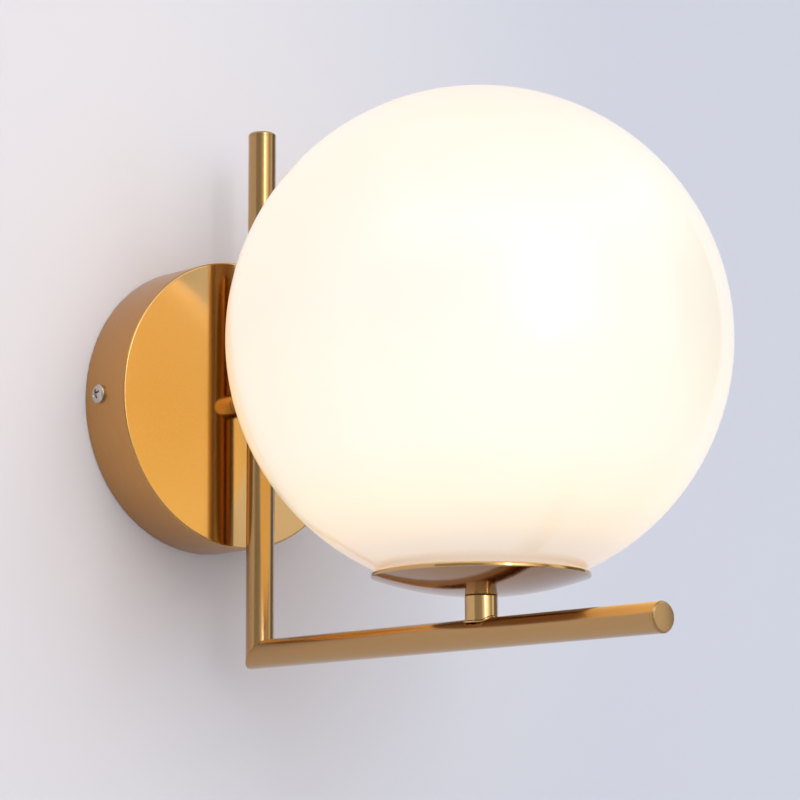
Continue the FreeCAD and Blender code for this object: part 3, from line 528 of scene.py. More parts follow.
def opalGlass():
    material, add, shader = newMaterial("opalGlass")[:3]
    where = add("ShaderNodeTexCoord")
    fromCentre = add("ShaderNodeVectorMath", {"operation": "SUBTRACT"},
                     {0: where.outputs["Object"], 1: (0, axisY * mm, globe["level"] * mm)})
    direction = add("ShaderNodeVectorMath", {"operation": "NORMALIZE"}, {0: fromCentre})
    height = add("ShaderNodeSeparateXYZ", inputs={0: direction})
    rise = add("ShaderNodeMapRange",
               inputs={"Value": height.outputs["Z"], "From Min": -1.0, "From Max": 1.0})
    glow = add("ShaderNodeValToRGB", inputs={0: rise},
               stops=[(place, srgb(colour)) for place, colour in globe["glow"]])
    # painted highlight and falloff: the glow is whiter where the glass turns towards the fixed hot
    # side
    towardHotSide = add("ShaderNodeVectorMath", {"operation": "DOT_PRODUCT"},
                 {0: direction, 1: globe["paintedHotSide"]})
    paintedLimbCream = add("ShaderNodeValToRGB", inputs={0: towardHotSide.outputs["Value"]},
                stops=[(place, srgb(colour)) for place, colour in globe["paintedLimbCream"]])
    shownWithPaintedLight = add("ShaderNodeMix", {"data_type": "RGBA", "blend_type": "MULTIPLY"},
                     {"Factor": 1.0, "A": paintedLimbCream, "B": srgb(globe["shown"])})
    # the bulb is warm white, so the globe's light on other things and its image in metal are
    # warmer than its bright face
    path = add("ShaderNodeLightPath")
    others = add("ShaderNodeMix", {"data_type": "RGBA"},
                 {"Factor": path.outputs["Is Glossy Ray"], "A": srgb(globe["spilled"]),
                  "B": srgb(globe["mirrored"])})
    tint = add("ShaderNodeMix", {"data_type": "RGBA"},
               {"Factor": path.outputs["Is Camera Ray"], "A": others.outputs["Result"],
                "B": shownWithPaintedLight.outputs["Result"]})
    light = add("ShaderNodeMix", {"data_type": "RGBA", "blend_type": "MULTIPLY"},
                {"Factor": 1.0, "A": glow, "B": tint.outputs["Result"]})
    feed(shader, {"Emission Color": light.outputs["Result"], "Emission Strength": globe["strength"],
                  "Base Color": srgb(globe["glass"]), "Roughness": globe["roughness"],
                  "Coat Weight": globe["gloss"], "Coat Roughness": globe["glossRoughness"]})
    material.cycles.emission_sampling = "NONE"
    return material


level, outer, inner = globe["level"], globe["radius"], globe["radius"] - globe["wall"]
shell = sphereArc(level, outer, globe["mouth"], outer, globe["steps"][0])
shell += overSphere(level, outer, outer, 0.0, globe["steps"][1])[1:]
shell += overSphere(level, inner, 0.0, inner, globe["steps"][2])
shell += sphereArc(level, inner, inner, globe["mouth"], globe["steps"][3])[1:]
shell = rounded(shell, {0: globe["lip"], len(shell) - 1: globe["lip"]}, steps=3)
finish(lathe("globeShell", shell, globe["segments"], (0, axisY, 0)), "shade",
       opalGlass(), ["glass_globe"])
print("globe")


canopy = {"radius": 62.5, "depth": 27.0, "wall": 1.2, "edge": 1.0, "backEdge": 0.15, "face": 0.35,
          "hole": 5.3, "screwReach": 10.0, "screwHole": 2.3, "drill": 70.0, "segments": 256}
wallBack = canopy["depth"] - canopy["wall"]
insideRadius = canopy["radius"] - canopy["wall"]
outline = [(insideRadius, 0), (canopy["radius"], 0), (canopy["radius"], canopy["depth"]),
           (canopy["hole"], canopy["depth"]), (canopy["hole"], wallBack), (insideRadius, wallBack)]
outline = rounded(outline, {2: canopy["edge"], 1: canopy["backEdge"]}, steps=6)
cup = lathe("canopyCup", outline, canopy["segments"], towards="out")
length, bore = canopy["drill"], canopy["screwHole"]
drill = lathe("drill", [(0, -length), (bore, -length), (bore, length), (0, length)], segments=32)
drill.data.transform(
    Matrix.Translation((0, -canopy["screwReach"] * mm, 0)) @ Matrix.Rotation(math.pi / 2, 4, "Y"))
cutAway(cup, drill)
finish(cup, "fixture", [spunRim, spunFace], ["canopy"])
for face in cup.data.polygons:
    onFace = face.center.y < -(canopy["depth"] - canopy["face"]) * mm
    face.material_index = 1 if onFace else 0
print("canopy")


screw = {"head": 4.0, "height": 2.4, "dome": 1.2, "edge": 0.35, "foot": 0.15, "shank": 2.0,
         "length": 10.0, "point": 0.5, "slit": 1.1, "arm": 5.2, "deep": 1.7, "twist": 20.0,
         "over": 1.0, "flare": 0.6}


def panScrew():
    curve = (screw["head"] ** 2 + screw["dome"] ** 2) / (2 * screw["dome"])
    top = [(r, screw["height"] - curve + math.sqrt(curve ** 2 - r ** 2))
           for r in [screw["head"] * i / 10 for i in range(10, -1, -1)]]
    end = -screw["length"]
    stalk = [(0, end), (screw["shank"] - screw["point"], end),
             (screw["shank"], end + screw["point"]), (screw["shank"], 0), (screw["head"], 0)]
    piece = lathe("panScrew", rounded(stalk + top, {4: screw["foot"], 5: screw["edge"]}, steps=4),
                  segments=64, sharpAngle=40)
    floor = (screw["height"] - screw["deep"], screw["arm"] / 4)
    mouth = (screw["height"] + screw["over"], screw["arm"] / 2 + screw["flare"])
    half = screw["slit"] / 2
    for turn in (0, 90):  # each arm of the cross narrows towards its floor
        corners = [(side * reach, along * half, z) for z, reach in (floor, mouth)
                   for side, along in ((-1, -1), (1, -1), (1, 1), (-1, 1))]
        sides = [(0, 1, 2, 3), (4, 5, 6, 7), (0, 1, 5, 4), (1, 2, 6, 5), (2, 3, 7, 6), (3, 0, 4, 7)]
        wedge = closeMesh("wedge", corners, sides, smooth["turned"])
        wedge.data.transform(Matrix.Rotation(math.radians(turn), 4, "Z"))
        cutAway(piece, wedge, sharpAngle=35)
    piece.data.transform(Matrix.Rotation(math.radians(screw["twist"]), 4, "Z"))
    return piece


panHead = panScrew()
pair = grown("sideScrewPair", pairTree, {
    "Screw": panHead, "Reach mm": canopy["radius"], "Forward mm": canopy["screwReach"],
    "Material": brightNickel}, sharpAngle=35)
bpy.data.objects.remove(panHead)
finish(pair, "fixture", brightNickel, ["side_screws"])
print("screws")


tube = {"radius": 6.0, "wall": 1.0, "riserReach": 41.0, "riserAbove": 118.0, "armDrop": 108.5,
        "armReach": 271.5, "mitreEdge": 0.12, "segments": 96}
plug = {"lip": 1.6, "chamfer": 0.7, "depth": 6.0, "gap": 0.05, "tip": 0.3, "edge": 0.18}


def mitredTube(name, farEnd, placed):
    rings = []
    outer = tube["radius"]
    inner = outer - tube["wall"]
    for radius, end in ((outer, None), (outer, farEnd), (inner, farEnd), (inner, None)):
        angles = [2 * math.pi * s / tube["segments"] for s in range(tube["segments"])]
        rings.append([placed(radius * math.cos(a), radius * math.sin(a), end) for a in angles])
    return pipe(name, rings)


cornerY, cornerZ = -tube["riserReach"], -tube["armDrop"]
riserEnd, armEnd = tube["riserAbove"] - plug["lip"], -tube["armReach"] + plug["lip"]
riser = mitredTube("riserTube", riserEnd,
                   lambda u, v, end: (u, cornerY + v, cornerZ - v if end is None else end))
arm = mitredTube("armTube", armEnd,
                 lambda u, v, end: (u, cornerY - v if end is None else end, cornerZ + v))
for piece, material, node in ((riser, brushedUp, "riser_tube"), (arm, brushedAlong, "arm_tube")):
    breakEdges(piece, tube["mitreEdge"], segments=2, sharperThan=30)
    finish(piece, "fixture", material, [node])

inTube = tube["radius"] - tube["wall"] - plug["gap"]
capOutline = [(0, -plug["depth"]), (inTube, -plug["depth"]), (inTube, 0), (tube["radius"], 0),
              (tube["radius"], plug["lip"] - plug["chamfer"]),
              (tube["radius"] - plug["chamfer"], plug["lip"]), (0, plug["lip"])]
capOutline = rounded(capOutline, {1: plug["tip"], 4: plug["edge"], 5: plug["edge"]}, steps=3)
riserCap = lathe("riserPlug", capOutline, segments=96, place=(0, cornerY, riserEnd), sharpAngle=25)
armCap = lathe("armPlug", capOutline, segments=96, place=(0, armEnd, cornerZ), towards="out",
               sharpAngle=25)
finish(riserCap, "fixture", brushedUp, ["riser_cap"])
finish(armCap, "fixture", brushedUp, ["arm_cap"])
print("tubes and caps")


neck = {"radius": 6.5, "bore": 5.05, "lap": 1.8, "height": 8.6, "edge": 0.4, "bead": 0.5}
stem = {"radius": 5.5, "bore": 3.6, "edge": 0.25}
weldGap = 0.02  # between a stub's coped end and the tube that it is welded to
dish = {"radius": 43.0, "sag": 7.3, "wall": 1.5, "edge": 0.4, "hole": 5.3, "steps": 48,
        "segments": 192}


def copedStub(name, look, farEnd, lowest, placed, segments=96):  # its near end sits on a tube
    rings = []
    for radius, far in ((look["radius"], False), (look["radius"], True), (look["bore"], True),
                        (look["bore"], False)):
        rings.append([])
        for s in range(segments):
            a = 2 * math.pi * s / segments
            u, v = radius * math.cos(a), radius * math.sin(a)
            onTube = math.sqrt(max(0.0, (tube["radius"] + weldGap) ** 2 - u ** 2))
            rings[-1].append(placed(u, v, farEnd if far else max(onTube, lowest)))
    return pipe(name, rings)


def footBead(name, turns=144, sides=10):  # the rolled lip along the neck's coped foot
    lowest, size = tube["radius"] - neck["lap"], neck["bead"]
    points, faces, path = [], [], []
    for s in range(turns):
        a = 2 * math.pi * s / turns
        u, v = neck["radius"] * math.cos(a), neck["radius"] * math.sin(a)
        onTube = math.sqrt(max(0.0, tube["radius"] ** 2 - u ** 2))
        path.append(Vector((u, v, max(onTube, lowest) + size / 2)))
    for s, here in enumerate(path):
        out = Vector((here.x, here.y, 0)).normalized()
        up = (path[(s + 1) % turns] - path[s - 1]).normalized().cross(out)
        for t in range(sides):
            a = 2 * math.pi * t / sides
            there = here + (out * math.cos(a) + up * math.sin(a)) * size
            points.append((there.x, axisY + there.y, cornerZ + there.z))
            i, j, k = s * sides, (s + 1) % turns * sides, (t + 1) % sides
            faces.append((i + t, j + t, j + k, i + k))
    return closeMesh(name, points, faces, sharpAngle=80)


pole = cornerZ + tube["radius"] + neck["height"]
bowl = (dish["radius"] ** 2 + dish["sag"] ** 2) / (2 * dish["sag"])
bowlCentre = pole + bowl
neckTop = underSphere(bowlCentre, bowl, neck["radius"]) - cornerZ
neckPiece = copedStub("neckStub", neck, neckTop, tube["radius"] - neck["lap"],
                      lambda u, v, h: (u, axisY + v, cornerZ + h))
stemPiece = copedStub("stemStub", stem, tube["riserReach"] - canopy["depth"], 0.0,
                      lambda u, v, h: (u, cornerY + h, v))
breakEdges(neckPiece, neck["edge"], segments=3, sharperThan=40)
finish(neckPiece, "fixture", mirrorBrass, ["neck"])
breakEdges(stemPiece, stem["edge"], segments=3, sharperThan=40)
finish(stemPiece, "fixture", spunFace, ["stem"])
finish(footBead("footBead"), "fixture", mirrorBrass)

under = sphereArc(bowlCentre, bowl, dish["hole"], dish["radius"], dish["steps"])
over = sphereArc(bowlCentre, bowl - dish["wall"], dish["radius"], dish["hole"], dish["steps"])
rim = len(under)
dishOutline = rounded(under + over, {rim - 1: dish["edge"], rim: dish["edge"]}, steps=5)
dishPiece = lathe("dishBowl", dishOutline, dish["segments"], (0, axisY, 0))
finish(dishPiece, "fixture", [shadedDishBrass, mirrorBrass], ["dish"])
# painted shade: all but the rounded rim takes the darker dish brass, and the rim keeps the polished
# brass
for face in dishPiece.data.polygons:
    away = math.hypot(face.center.x, face.center.y - axisY * mm)
    face.material_index = 1 if away > (dish["radius"] - dish["edge"]) * mm else 0
print("stem, neck and dish")


fitter = {"coreRadius": 33.2, "wall": 2.5, "floor": 5.6, "rise": 16.4, "seatGap": 0.05, "edge": 0.4,
          "corner": 1.2, "footEdge": 0.3, "pitch": 4.0, "turns": 1.5, "section": 0.95, "sunk": 0.15,
          "threadEnd": 1.65, "leadIn": 0.08}
ring = {"bore": 35.0, "radius": 36.6, "lipBore": 32.1, "lipGap": 1.2, "lip": 1.2, "footGap": 0.3}
seal = {"radius": 34.0, "thick": 1.0, "gap": 0.1, "edge": 0.3, "line": 39.5, "section": 0.75}
bond = {"leg": 4.0, "gap": 0.3, "hollow": 0.5}


def aboutAxis(name, outline, segments=128, sharpAngle=smooth["turned"]):  # the globe's own axis
    return lathe(name, outline, segments, (0, axisY, 0), sharpAngle=sharpAngle)


inside = pole + dish["wall"]
insideSphere = bowl - dish["wall"]
hubFloor, hubTop = inside + fitter["floor"], inside + fitter["rise"]
hubBore = fitter["coreRadius"] - fitter["wall"]
hubOutline = sphereArc(bowlCentre, insideSphere - fitter["seatGap"], dish["hole"],
                       fitter["coreRadius"], steps=16)
hubOutline += [(fitter["coreRadius"], hubTop), (hubBore, hubTop), (hubBore, hubFloor),
               (dish["hole"], hubFloor)]
hubOutline = rounded(hubOutline, {17: fitter["edge"], 18: fitter["edge"], 19: fitter["corner"]},
                     steps=4)
finish(aboutAxis("hubBody", hubOutline), "fixture", castAluminium, ["fitter_hub"])
ringFoot = underSphere(bowlCentre, insideSphere, ring["radius"]) + ring["footGap"]
lipLow = hubTop + ring["lipGap"]
lipHigh = lipLow + ring["lip"]
ringOutline = [(ring["bore"], ringFoot), (ring["radius"], ringFoot), (ring["radius"], lipHigh),
               (ring["lipBore"], lipHigh), (ring["lipBore"], lipLow), (ring["bore"], lipLow)]
ringOutline = rounded(ringOutline, {0: fitter["footEdge"], 1: fitter["footEdge"], 2: fitter["edge"],
                                    3: fitter["edge"]}, steps=4)
finish(aboutAxis("ringBody", ringOutline), "shade", castAluminium, ["shade_ring"])
rise = fitter["pitch"] * fitter["turns"]
for name, body, radius, foot in (
        ("hubThread", "fixture", fitter["coreRadius"] - fitter["sunk"],
         hubTop - rise - fitter["threadEnd"]),
        ("ringThread", "shade", ring["bore"] + fitter["sunk"], ringFoot + fitter["threadEnd"])):
    ridge = grown(name, ridgeTree, {
        "Radius mm": radius, "Rise mm": rise, "Turns": fitter["turns"],
        "Section mm": fitter["section"], "Lead In": fitter["leadIn"], "Tip": 0.1, "Steps": 96,
        "Sides": 14, "Material": castAluminium}, (0, axisY, foot))
    finish(ridge, body, castAluminium)

sealLow = hubTop + seal["gap"]
sealHigh = sealLow + seal["thick"]
sealOutline = [(ring["lipBore"], sealLow), (seal["radius"], sealLow), (seal["radius"], sealHigh),
               (ring["lipBore"], sealHigh)]
sealOutline = rounded(sealOutline, {corner: seal["edge"] for corner in range(4)}, steps=4)
finish(aboutAxis("gasketRing", sealOutline, segments=96), "shade_riser", silicone,
       ["shade_gasket"])
ringLevel = (underSphere(bowlCentre, insideSphere, seal["line"])
             + underSphere(globe["level"], globe["radius"], seal["line"])) / 2  # dish to glass
bound = [(seal["line"] + seal["section"] * math.cos(a), ringLevel + seal["section"] * math.sin(a))
         for a in [2 * math.pi * i / 16 for i in range(16)]]
finish(aboutAxis("sealRing", bound, sharpAngle=smooth["soft"]), "shade_carrier",
       silicone, ["shade_o_ring"])
edgeLow = underSphere(globe["level"], globe["radius"], globe["mouth"]) + bond["gap"]
edgeHigh = underSphere(globe["level"], inner, globe["mouth"])
beadTop = (ring["radius"], edgeHigh + bond["leg"])
onGlass = sphereArc(globe["level"], inner, globe["mouth"], globe["mouth"] + bond["leg"], steps=6)
chord = ((onGlass[-1][0] + beadTop[0]) / 2 - bond["hollow"],
         (onGlass[-1][1] + beadTop[1]) / 2 - bond["hollow"])  # the bead's face is hollow
beadOutline = [(ring["radius"], edgeLow), (globe["mouth"], edgeLow)] + onGlass
beadOutline += arcThrough(onGlass[-1], chord, beadTop, steps=8)[1:]
finish(aboutAxis("bondFillet", beadOutline, sharpAngle=50), "shade", silicone,
       ["bond_bead"])
print("fitter")


holder = {"radius": 19.5, "wall": 2.0, "base": 20.0, "floor": 5.0, "core": 5.0, "skirt": 27.0,
          "lip": 0.8, "corner": 6.0, "edge": 0.25, "floorCorner": 1.0, "innerLip": 0.6,
          "hole": 5.05, "fixing": 5.0, "gap": 0.05}  # the fixing under it is a washer and a nut
ribs = {"count": 40, "depth": 0.35, "sunk": 0.05, "wall": 0.5, "above": 1.2, "shorter": 3.0,
        "plain": 1.0, "runOut": 1.6}
socket = {"bore": 14.2, "wall": 0.5, "length": 24.0, "plain": 1.2}
thread = {"pitch": 3.629, "depth": 0.95, "runOut": 1.8}  # an E27 cap's
bulb = {"tip": 2.9, "pip": 4.8, "pipHeight": 1.5, "pipEdge": 0.4, "pipFoot": 1.2, "insulator": 4.5,
        "insulatorLip": 0.6, "lap": 1.0, "capRadius": 12.1, "capLength": 22.0, "capWall": 0.6,
        "capPlain": 0.6, "radius": 30.0, "length": 108.0, "collar": 14.5, "collarHeight": 3.0,
        "plug": 11.45, "bore": 9.45, "plugDepth": 8.0, "bendOut": 3.0, "bendUp": 0.35, "wall": 2.2,
        "seat": 2.5, "seatDrop": 12.0, "domeWall": 1.2, "gap": 0.05,
        # radii by place in the outline; the body's are at the collar's foot and under the diffuser
        "pipRadii": {1: 0.4, 2: 0.3}, "coneRadii": {1: 0.3, 2: 0.6}, "bodyRadii": {3: 0.5, 28: 0.2}}

holderLow = hubFloor + holder["fixing"]
coreLow = holderLow + holder["base"]
shellLow = coreLow + holder["core"]
skirtTop = coreLow + holder["skirt"]
hollow = holder["radius"] - holder["wall"]
floorTop = holderLow + holder["floor"]
baseOutline = [(holder["hole"], holderLow), (holder["radius"], holderLow),
               (holder["radius"], coreLow), (hollow, coreLow), (hollow, floorTop),
               (holder["hole"], floorTop)]
baseOutline = rounded(baseOutline, {1: holder["corner"], 2: holder["edge"],
                                    4: holder["floorCorner"]}, steps=10)
finish(aboutAxis("holderFoot", baseOutline, segments=96), "fixture",
       holderPlastic, ["holder_base"])
skirtBore = socket["bore"] + socket["wall"] + holder["gap"]
aboutCore = hollow + holder["gap"]
skirtBody = holder["radius"] - ribs["depth"]
skirtOutline = [(skirtBore, shellLow), (skirtBore, skirtTop), (skirtBody, skirtTop),
                (skirtBody, coreLow), (aboutCore, coreLow), (aboutCore, shellLow)]
skirtOutline = rounded(skirtOutline, {1: holder["innerLip"], 2: holder["lip"], 3: holder["edge"]},
                       steps=5)
finish(aboutAxis("holderSleeve", skirtOutline, segments=96), "fixture",
       holderPlastic, ["holder_skirt"])

pipLow = shellLow + bulb["tip"]
coneLow = pipLow + bulb["pipHeight"]
capLow = coneLow + bulb["insulator"]
capTop = capLow + bulb["capLength"]
threadValues = {"Pitch mm": thread["pitch"], "Starts": 1.0, "Run Out mm": thread["runOut"],
                "Around": 97, "Material": nickelShell}
# each wavy sleeve: its name, body, slot, finish, node, foot, wall (outwards is plus) and inputs
sleeves = [("holderRibs", "fixture", "holder_plastic", holderPlastic, (), coreLow + ribs["above"],
            -ribs["wall"],
            {"Radius mm": skirtBody - ribs["sunk"], "Wave mm": ribs["depth"] + ribs["sunk"],
             "Pitch mm": 1e6, "Starts": float(ribs["count"]),
             "Length mm": holder["skirt"] - ribs["shorter"], "Plain End mm": ribs["plain"],
             "Run Out mm": ribs["runOut"], "Around": ribs["count"] * 10 + 1, "Along": 25,
             "Material": holderPlastic}),
           ("socketThread", "fixture", "nickel_shell", nickelShell, ["thread_shell"], shellLow,
            socket["wall"],
            dict(threadValues, **{"Radius mm": socket["bore"], "Wave mm": -thread["depth"],
                                  "Length mm": socket["length"], "Plain End mm": socket["plain"],
                                  "Along": 121})),
           ("capThread", "bulb", "nickel_shell", nickelShell, ["bulb_cap"], capLow,
            -bulb["capWall"],
            dict(threadValues, **{"Radius mm": bulb["capRadius"], "Wave mm": thread["depth"],
                                  "Length mm": bulb["capLength"], "Plain End mm": bulb["capPlain"],
                                  "Along": 111}))]
for name, body, slotName, material, replaced, foot, wall, values in sleeves:
    sleeve = grown(name, sleeveTree, values, (0, axisY, foot), smooth["soft"])
    thick = sleeve.modifiers.new("sheet", "SOLIDIFY")
    thick.thickness, thick.offset = abs(wall) * mm, math.copysign(1.0, wall)
    finish(sleeve, body, material, replaced)
print("lamp holder and threads")

pip = [(0, pipLow), (bulb["pip"] - bulb["pipFoot"], pipLow),
       (bulb["pip"] - bulb["pipEdge"], pipLow + bulb["pipEdge"]), (bulb["pip"], coneLow),
       (0, coneLow)]
finish(aboutAxis("contactPip", rounded(pip, bulb["pipRadii"], steps=4), segments=48,
                 sharpAngle=smooth["soft"]), "bulb_carrier", solder, ["bulb_contact"])
cone = [(0, coneLow), (bulb["pip"] + bulb["insulatorLip"], coneLow),
        (bulb["plug"], capLow - bulb["lap"]), (bulb["plug"], capLow + bulb["lap"]),
        (0, capLow + bulb["lap"])]
finish(aboutAxis("insulatorCone", rounded(cone, bulb["coneRadii"], steps=4), segments=64,
                 sharpAngle=smooth["soft"]), "bulb_riser", blackGlass,
       ["bulb_insulator"])
widest = pipLow + bulb["length"] - bulb["radius"]
seat = widest - bulb["seatDrop"]
seatRadius = math.sqrt(bulb["radius"] ** 2 - bulb["seatDrop"] ** 2)
collarTop = capTop + bulb["collarHeight"]
bend = (bulb["collar"] + bulb["bendOut"], capTop + bulb["bendUp"] * (seat - capTop))
housing = [(bulb["bore"], capTop - bulb["plugDepth"]), (bulb["plug"], capTop - bulb["plugDepth"]),
           (bulb["plug"], capTop), (bulb["collar"], capTop)]
housing += arcThrough((bulb["collar"], collarTop), bend, (seatRadius, seat), steps=24)
housing += arcThrough((seatRadius - bulb["seat"], seat), (bend[0] - bulb["wall"], bend[1]),
                      (bulb["bore"], collarTop), steps=24)
housing = rounded(housing, bulb["bodyRadii"], steps=4)
finish(aboutAxis("bulbBody", housing), "bulb", bulbPlastic, ["bulb_housing"])
drop = widest - seat - bulb["gap"]
outer, thin = bulb["radius"], bulb["radius"] - bulb["domeWall"]
dome = overSphere(widest, outer, 0.0, outer, steps=40)
dome += sphereArc(widest, outer, outer, math.sqrt(outer ** 2 - drop ** 2), steps=12)[1:]
dome += sphereArc(widest, thin, math.sqrt(thin ** 2 - drop ** 2), thin, steps=12)
dome += overSphere(widest, thin, thin, 0.0, steps=30)[1:]
finish(aboutAxis("diffuserDome", dome), "bulb", frosted, ["bulb_diffuser"])
print("bulb")


# The small solids inside keep their shape: a merged copy of each, with its edges broken.
# Each has its own name, its slot, its finish and the width of its edges.
broken = {"wall_bracket": ("bracketStrip", "zinc_steel", zincSteel, 0.3),
          "earth_screw": ("earthScrew", "turned_brass", turnedBrass, 0.1),
          "terminal_block": ("terminalBlock", "block_plastic", nylon, 0.3),
          "terminal_screws": ("terminalScrews", "zinc_steel", zincSteel, 0.1),
          "block_screw": ("blockScrew", "zinc_steel", zincSteel, 0.1),
          "stem_nipple": ("stemNipple", "turned_brass", turnedBrass, 0.2),
          "earth_tag": ("earthTag", "zinc_steel", zincSteel, 0.15),
          "stem_nut": ("stemNut", "zinc_steel", zincSteel, 0.15),
          "dish_nipple": ("dishNipple", "turned_brass", turnedBrass, 0.2),
          "dish_washer": ("dishWasher", "zinc_steel", zincSteel, 0.15),
          "dish_nut": ("dishNut", "zinc_steel", zincSteel, 0.15),
          "holder_core": ("holderCore", "holder_ceramic", steatite, 0.3),
          "holder_terminals": ("holderTerminals", "turned_brass", turnedBrass, 0.2),
          "centre_contact": ("springContact", "contact_bronze", springBronze, 0.1),
          "led_board": ("ledBoard", "board", solderMask, 0.1),
          "live_wire": ("liveCore", "wire_brown", sleeveBrown, 0.0),
          "neutral_wire": ("neutralCore", "wire_blue", sleeveBlue, 0.0),
          "earth_wire": ("earthCore", "wire_green", sleeveEarth, 0.0)}
flat = 0.2  # degrees: triangles that bend less than this become one face
for nodeName, (name, slotName, material, edge) in broken.items():
    mesh = nodes[nodeName].data.copy()
    work = bmesh.new()
    work.from_mesh(mesh)
    bmesh.ops.remove_doubles(work, verts=work.verts, dist=merge["cad"])
    bmesh.ops.dissolve_limit(work, angle_limit=math.radians(flat), verts=work.verts,
                             edges=work.edges)
    work.to_mesh(mesh)
    work.free()
    piece = newPiece(name, mesh, smooth["turned"])
    if edge:
        breakEdges(piece, edge, segments=2, sharperThan=50).use_clamp_overlap = True
    finish(piece, "bulb" if nodeName == "led_board" else "fixture", material, [nodeName])
print("inner fittings")


# the room is in metres, but for the round hole that the wall has behind the canopy
room = {"wallLitAndShadedColours": ("#E5E4EA", "#CED2DD"), "floorColours": ("#C6C7CE", "#C6C7CE"),
        "changeover": (-0.1, 0.3), "half": 4.0, "front": -5.0, "low": -1.4, "high": 3.0,
        "back": 0.0005, "hole": 59.0, "roughness": 0.9, "shine": 0.1}


def plainStage(name, corners, colours, hole=0.0):
    mesh = bpy.data.meshes.new(name)
    mesh.from_pydata(corners, [], [(0, 1, 2, 3)])
    piece = bpy.data.objects.new(name, mesh)
    bpy.context.scene.collection.objects.link(piece)
    # matt emulsion; on the wall it carries painted light, lighter and warmer on its left and darker
    # and bluer on its right
    material, add, shader, output = newMaterial(name + "Paint")
    where = add("ShaderNodeTexCoord")
    split = add("ShaderNodeSeparateXYZ", inputs={0: where.outputs["Object"]})
    across = add("ShaderNodeMapRange", {"interpolation_type": "SMOOTHSTEP"},
                 {"Value": split.outputs["X"], "From Min": room["changeover"][0],
                  "From Max": room["changeover"][1]})
    # on the wall this mix paints the light's falloff across it; the floor's two colours are the
    # same
    paint = add("ShaderNodeMix", {"data_type": "RGBA"},
                {"Factor": across, "A": srgb(colours[0]), "B": srgb(colours[1])})
    feed(shader, {"Base Color": paint.outputs["Result"], "Roughness": room["roughness"],
                  "Specular IOR Level": room["shine"]})
    # clear from behind, with a round hole at the canopy, so that the back view shows the fixings
    clear = add("ShaderNodeBsdfTransparent")
    side = add("ShaderNodeNewGeometry")
    away = add("ShaderNodeVectorMath", {"operation": "LENGTH"}, {0: where.outputs["Object"]})
    near = add("ShaderNodeMath", {"operation": "LESS_THAN"},
               {0: away.outputs["Value"], 1: hole * mm})
    either = add("ShaderNodeMath", {"operation": "MAXIMUM"},
                 {0: side.outputs["Backfacing"], 1: near})
    mixed = add("ShaderNodeMixShader", inputs={0: either, 1: shader, 2: clear})
    feed(output, {"Surface": mixed})
    mesh.materials.append(material)


half, back, low, high = room["half"], room["back"], room["low"], room["high"]
plainStage("wall", [(-half, back, low), (half, back, low), (half, back, high), (-half, back, high)],
           room["wallLitAndShadedColours"], room["hole"])
plainStage("floor", [(-half, room["front"], low), (half, room["front"], low), (half, back, low),
                     (-half, back, low)], room["floorColours"])

# A wide softbox in front of the wall with one narrow lamp in it, a soft bright ceiling and dark
# flanks. Each band of heights, in degrees, has its brightness by azimuth: 0 is straight out from
# the wall, and positive is to the left.
studio = [((-50, -12), [(-180, 0.5), (-90, 0.6), (0, 0.6), (90, 0.5), (180, 0.5)]),
          ((2, 20), [(-180, 0.7), (-120, 0.4), (-95, 0.25), (-75, 0.25), (-58, 0.2), (-48, 1.15),
                     (-38, 1.1), (-28, 0.35), (-10, 1.33), (5, 2.6), (12, 2.6), (14, 9.0),
                     (17, 9.0), (19, 2.5), (31, 1.1), (44, 0.5), (70, 0.4), (95, 0.5), (120, 0.4),
                     (180, 0.7)]),
          ((42, 42), [(-180, 0.8), (-90, 1.2), (-70, 1.9), (15, 2.0), (90, 1.95), (180, 0.8)]),
          ((65, 90), [(-180, 0.5), (-90, 0.6), (-60, 0.8), (60, 0.8), (90, 0.6), (180, 0.5)])]
brightest = max(v for heights, stops in studio for a, v in stops)  # the ramps' full scale
roomLight, backdropColour = 0.93, "#DFE1E8"
world = bpy.data.worlds.new("studioRoom")
world.use_nodes = True
bpy.context.scene.world = world
world.node_tree.nodes.clear()
add = partial(addNode, world.node_tree)
where = add("ShaderNodeTexCoord")
split = add("ShaderNodeSeparateXYZ", inputs={0: where.outputs["Generated"]})
minusX = add("ShaderNodeMath", {"operation": "MULTIPLY"}, {0: split.outputs["X"], 1: -1.0})
minusY = add("ShaderNodeMath", {"operation": "MULTIPLY"}, {0: split.outputs["Y"], 1: -1.0})
azimuth = add("ShaderNodeMath", {"operation": "ARCTAN2"}, {0: minusX, 1: minusY})
turn = add("ShaderNodeMapRange",
           inputs={"Value": azimuth, "From Min": -math.pi, "From Max": math.pi})
elevation = add("ShaderNodeMath", {"operation": "ARCSINE"}, {0: split.outputs["Z"]})
bands, previous = None, None
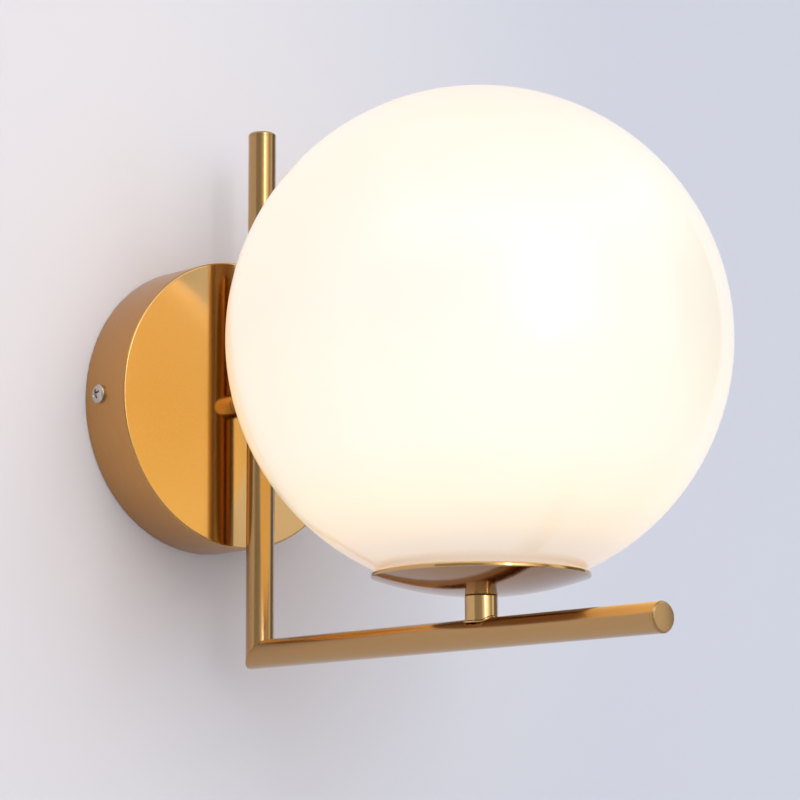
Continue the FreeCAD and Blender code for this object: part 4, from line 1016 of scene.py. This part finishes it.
for (low, high), stops in studio:
    ramp = add("ShaderNodeValToRGB", inputs={0: turn},
               stops=[((a + 180) / 360, (v / brightest,) * 3 + (1.0,)) for a, v in stops])
    if bands:
        blend = add("ShaderNodeMapRange", inputs={
            "Value": elevation, "From Min": math.radians(previous), "From Max": math.radians(low)})
        bands = add("ShaderNodeMix", {"data_type": "RGBA"},
                    {"Factor": blend, "A": bands, "B": ramp}).outputs["Result"]
    else:
        bands = ramp
    previous = high
lit = add("ShaderNodeBackground", inputs={"Color": bands, "Strength": brightest * roomLight})
backdrop = add("ShaderNodeBackground", inputs={"Color": srgb(backdropColour), "Strength": 1.0})
path = add("ShaderNodeLightPath")
direct = add("ShaderNodeMath", {"operation": "MAXIMUM"},
             {0: path.outputs["Is Camera Ray"], 1: path.outputs["Is Transmission Ray"]})
shown = add("ShaderNodeMixShader", inputs={0: direct, 1: lit, 2: backdrop})
add("ShaderNodeOutputWorld", inputs={"Surface": shown})

# the photo's camera: its place in metres, its angles in radians, its lens in millimetres
view = {"place": (-0.759575, -0.962481, -0.200199), "yaw": 0.7393448, "pitch": 0.1665168,
        "roll": -0.0033549, "lens": 126.88, "sensor": 36.0, "clip": (0.05, 50.0)}
camera = bpy.data.cameras.new("camera")
camera.lens, camera.sensor_width = view["lens"], view["sensor"]
camera.clip_start, camera.clip_end = view["clip"]
viewer = bpy.data.objects.new("camera", camera)
yaw, pitch, roll = view["yaw"], view["pitch"], view["roll"]
ahead = Vector((math.sin(yaw) * math.cos(pitch), math.cos(yaw) * math.cos(pitch), math.sin(pitch)))
right = Vector((math.cos(yaw), -math.sin(yaw), 0))
up = right.cross(ahead)
right, up = (right * math.cos(roll) + up * math.sin(roll),
             up * math.cos(roll) - right * math.sin(roll))
stance = Matrix((right, up, -ahead)).transposed().to_4x4()
viewer.matrix_world = Matrix.Translation(view["place"]) @ stance
bpy.context.scene.collection.objects.link(viewer)
bpy.context.scene.camera = viewer
bpy.context.scene.view_settings.view_transform = "Standard"
print("stage, light and camera")
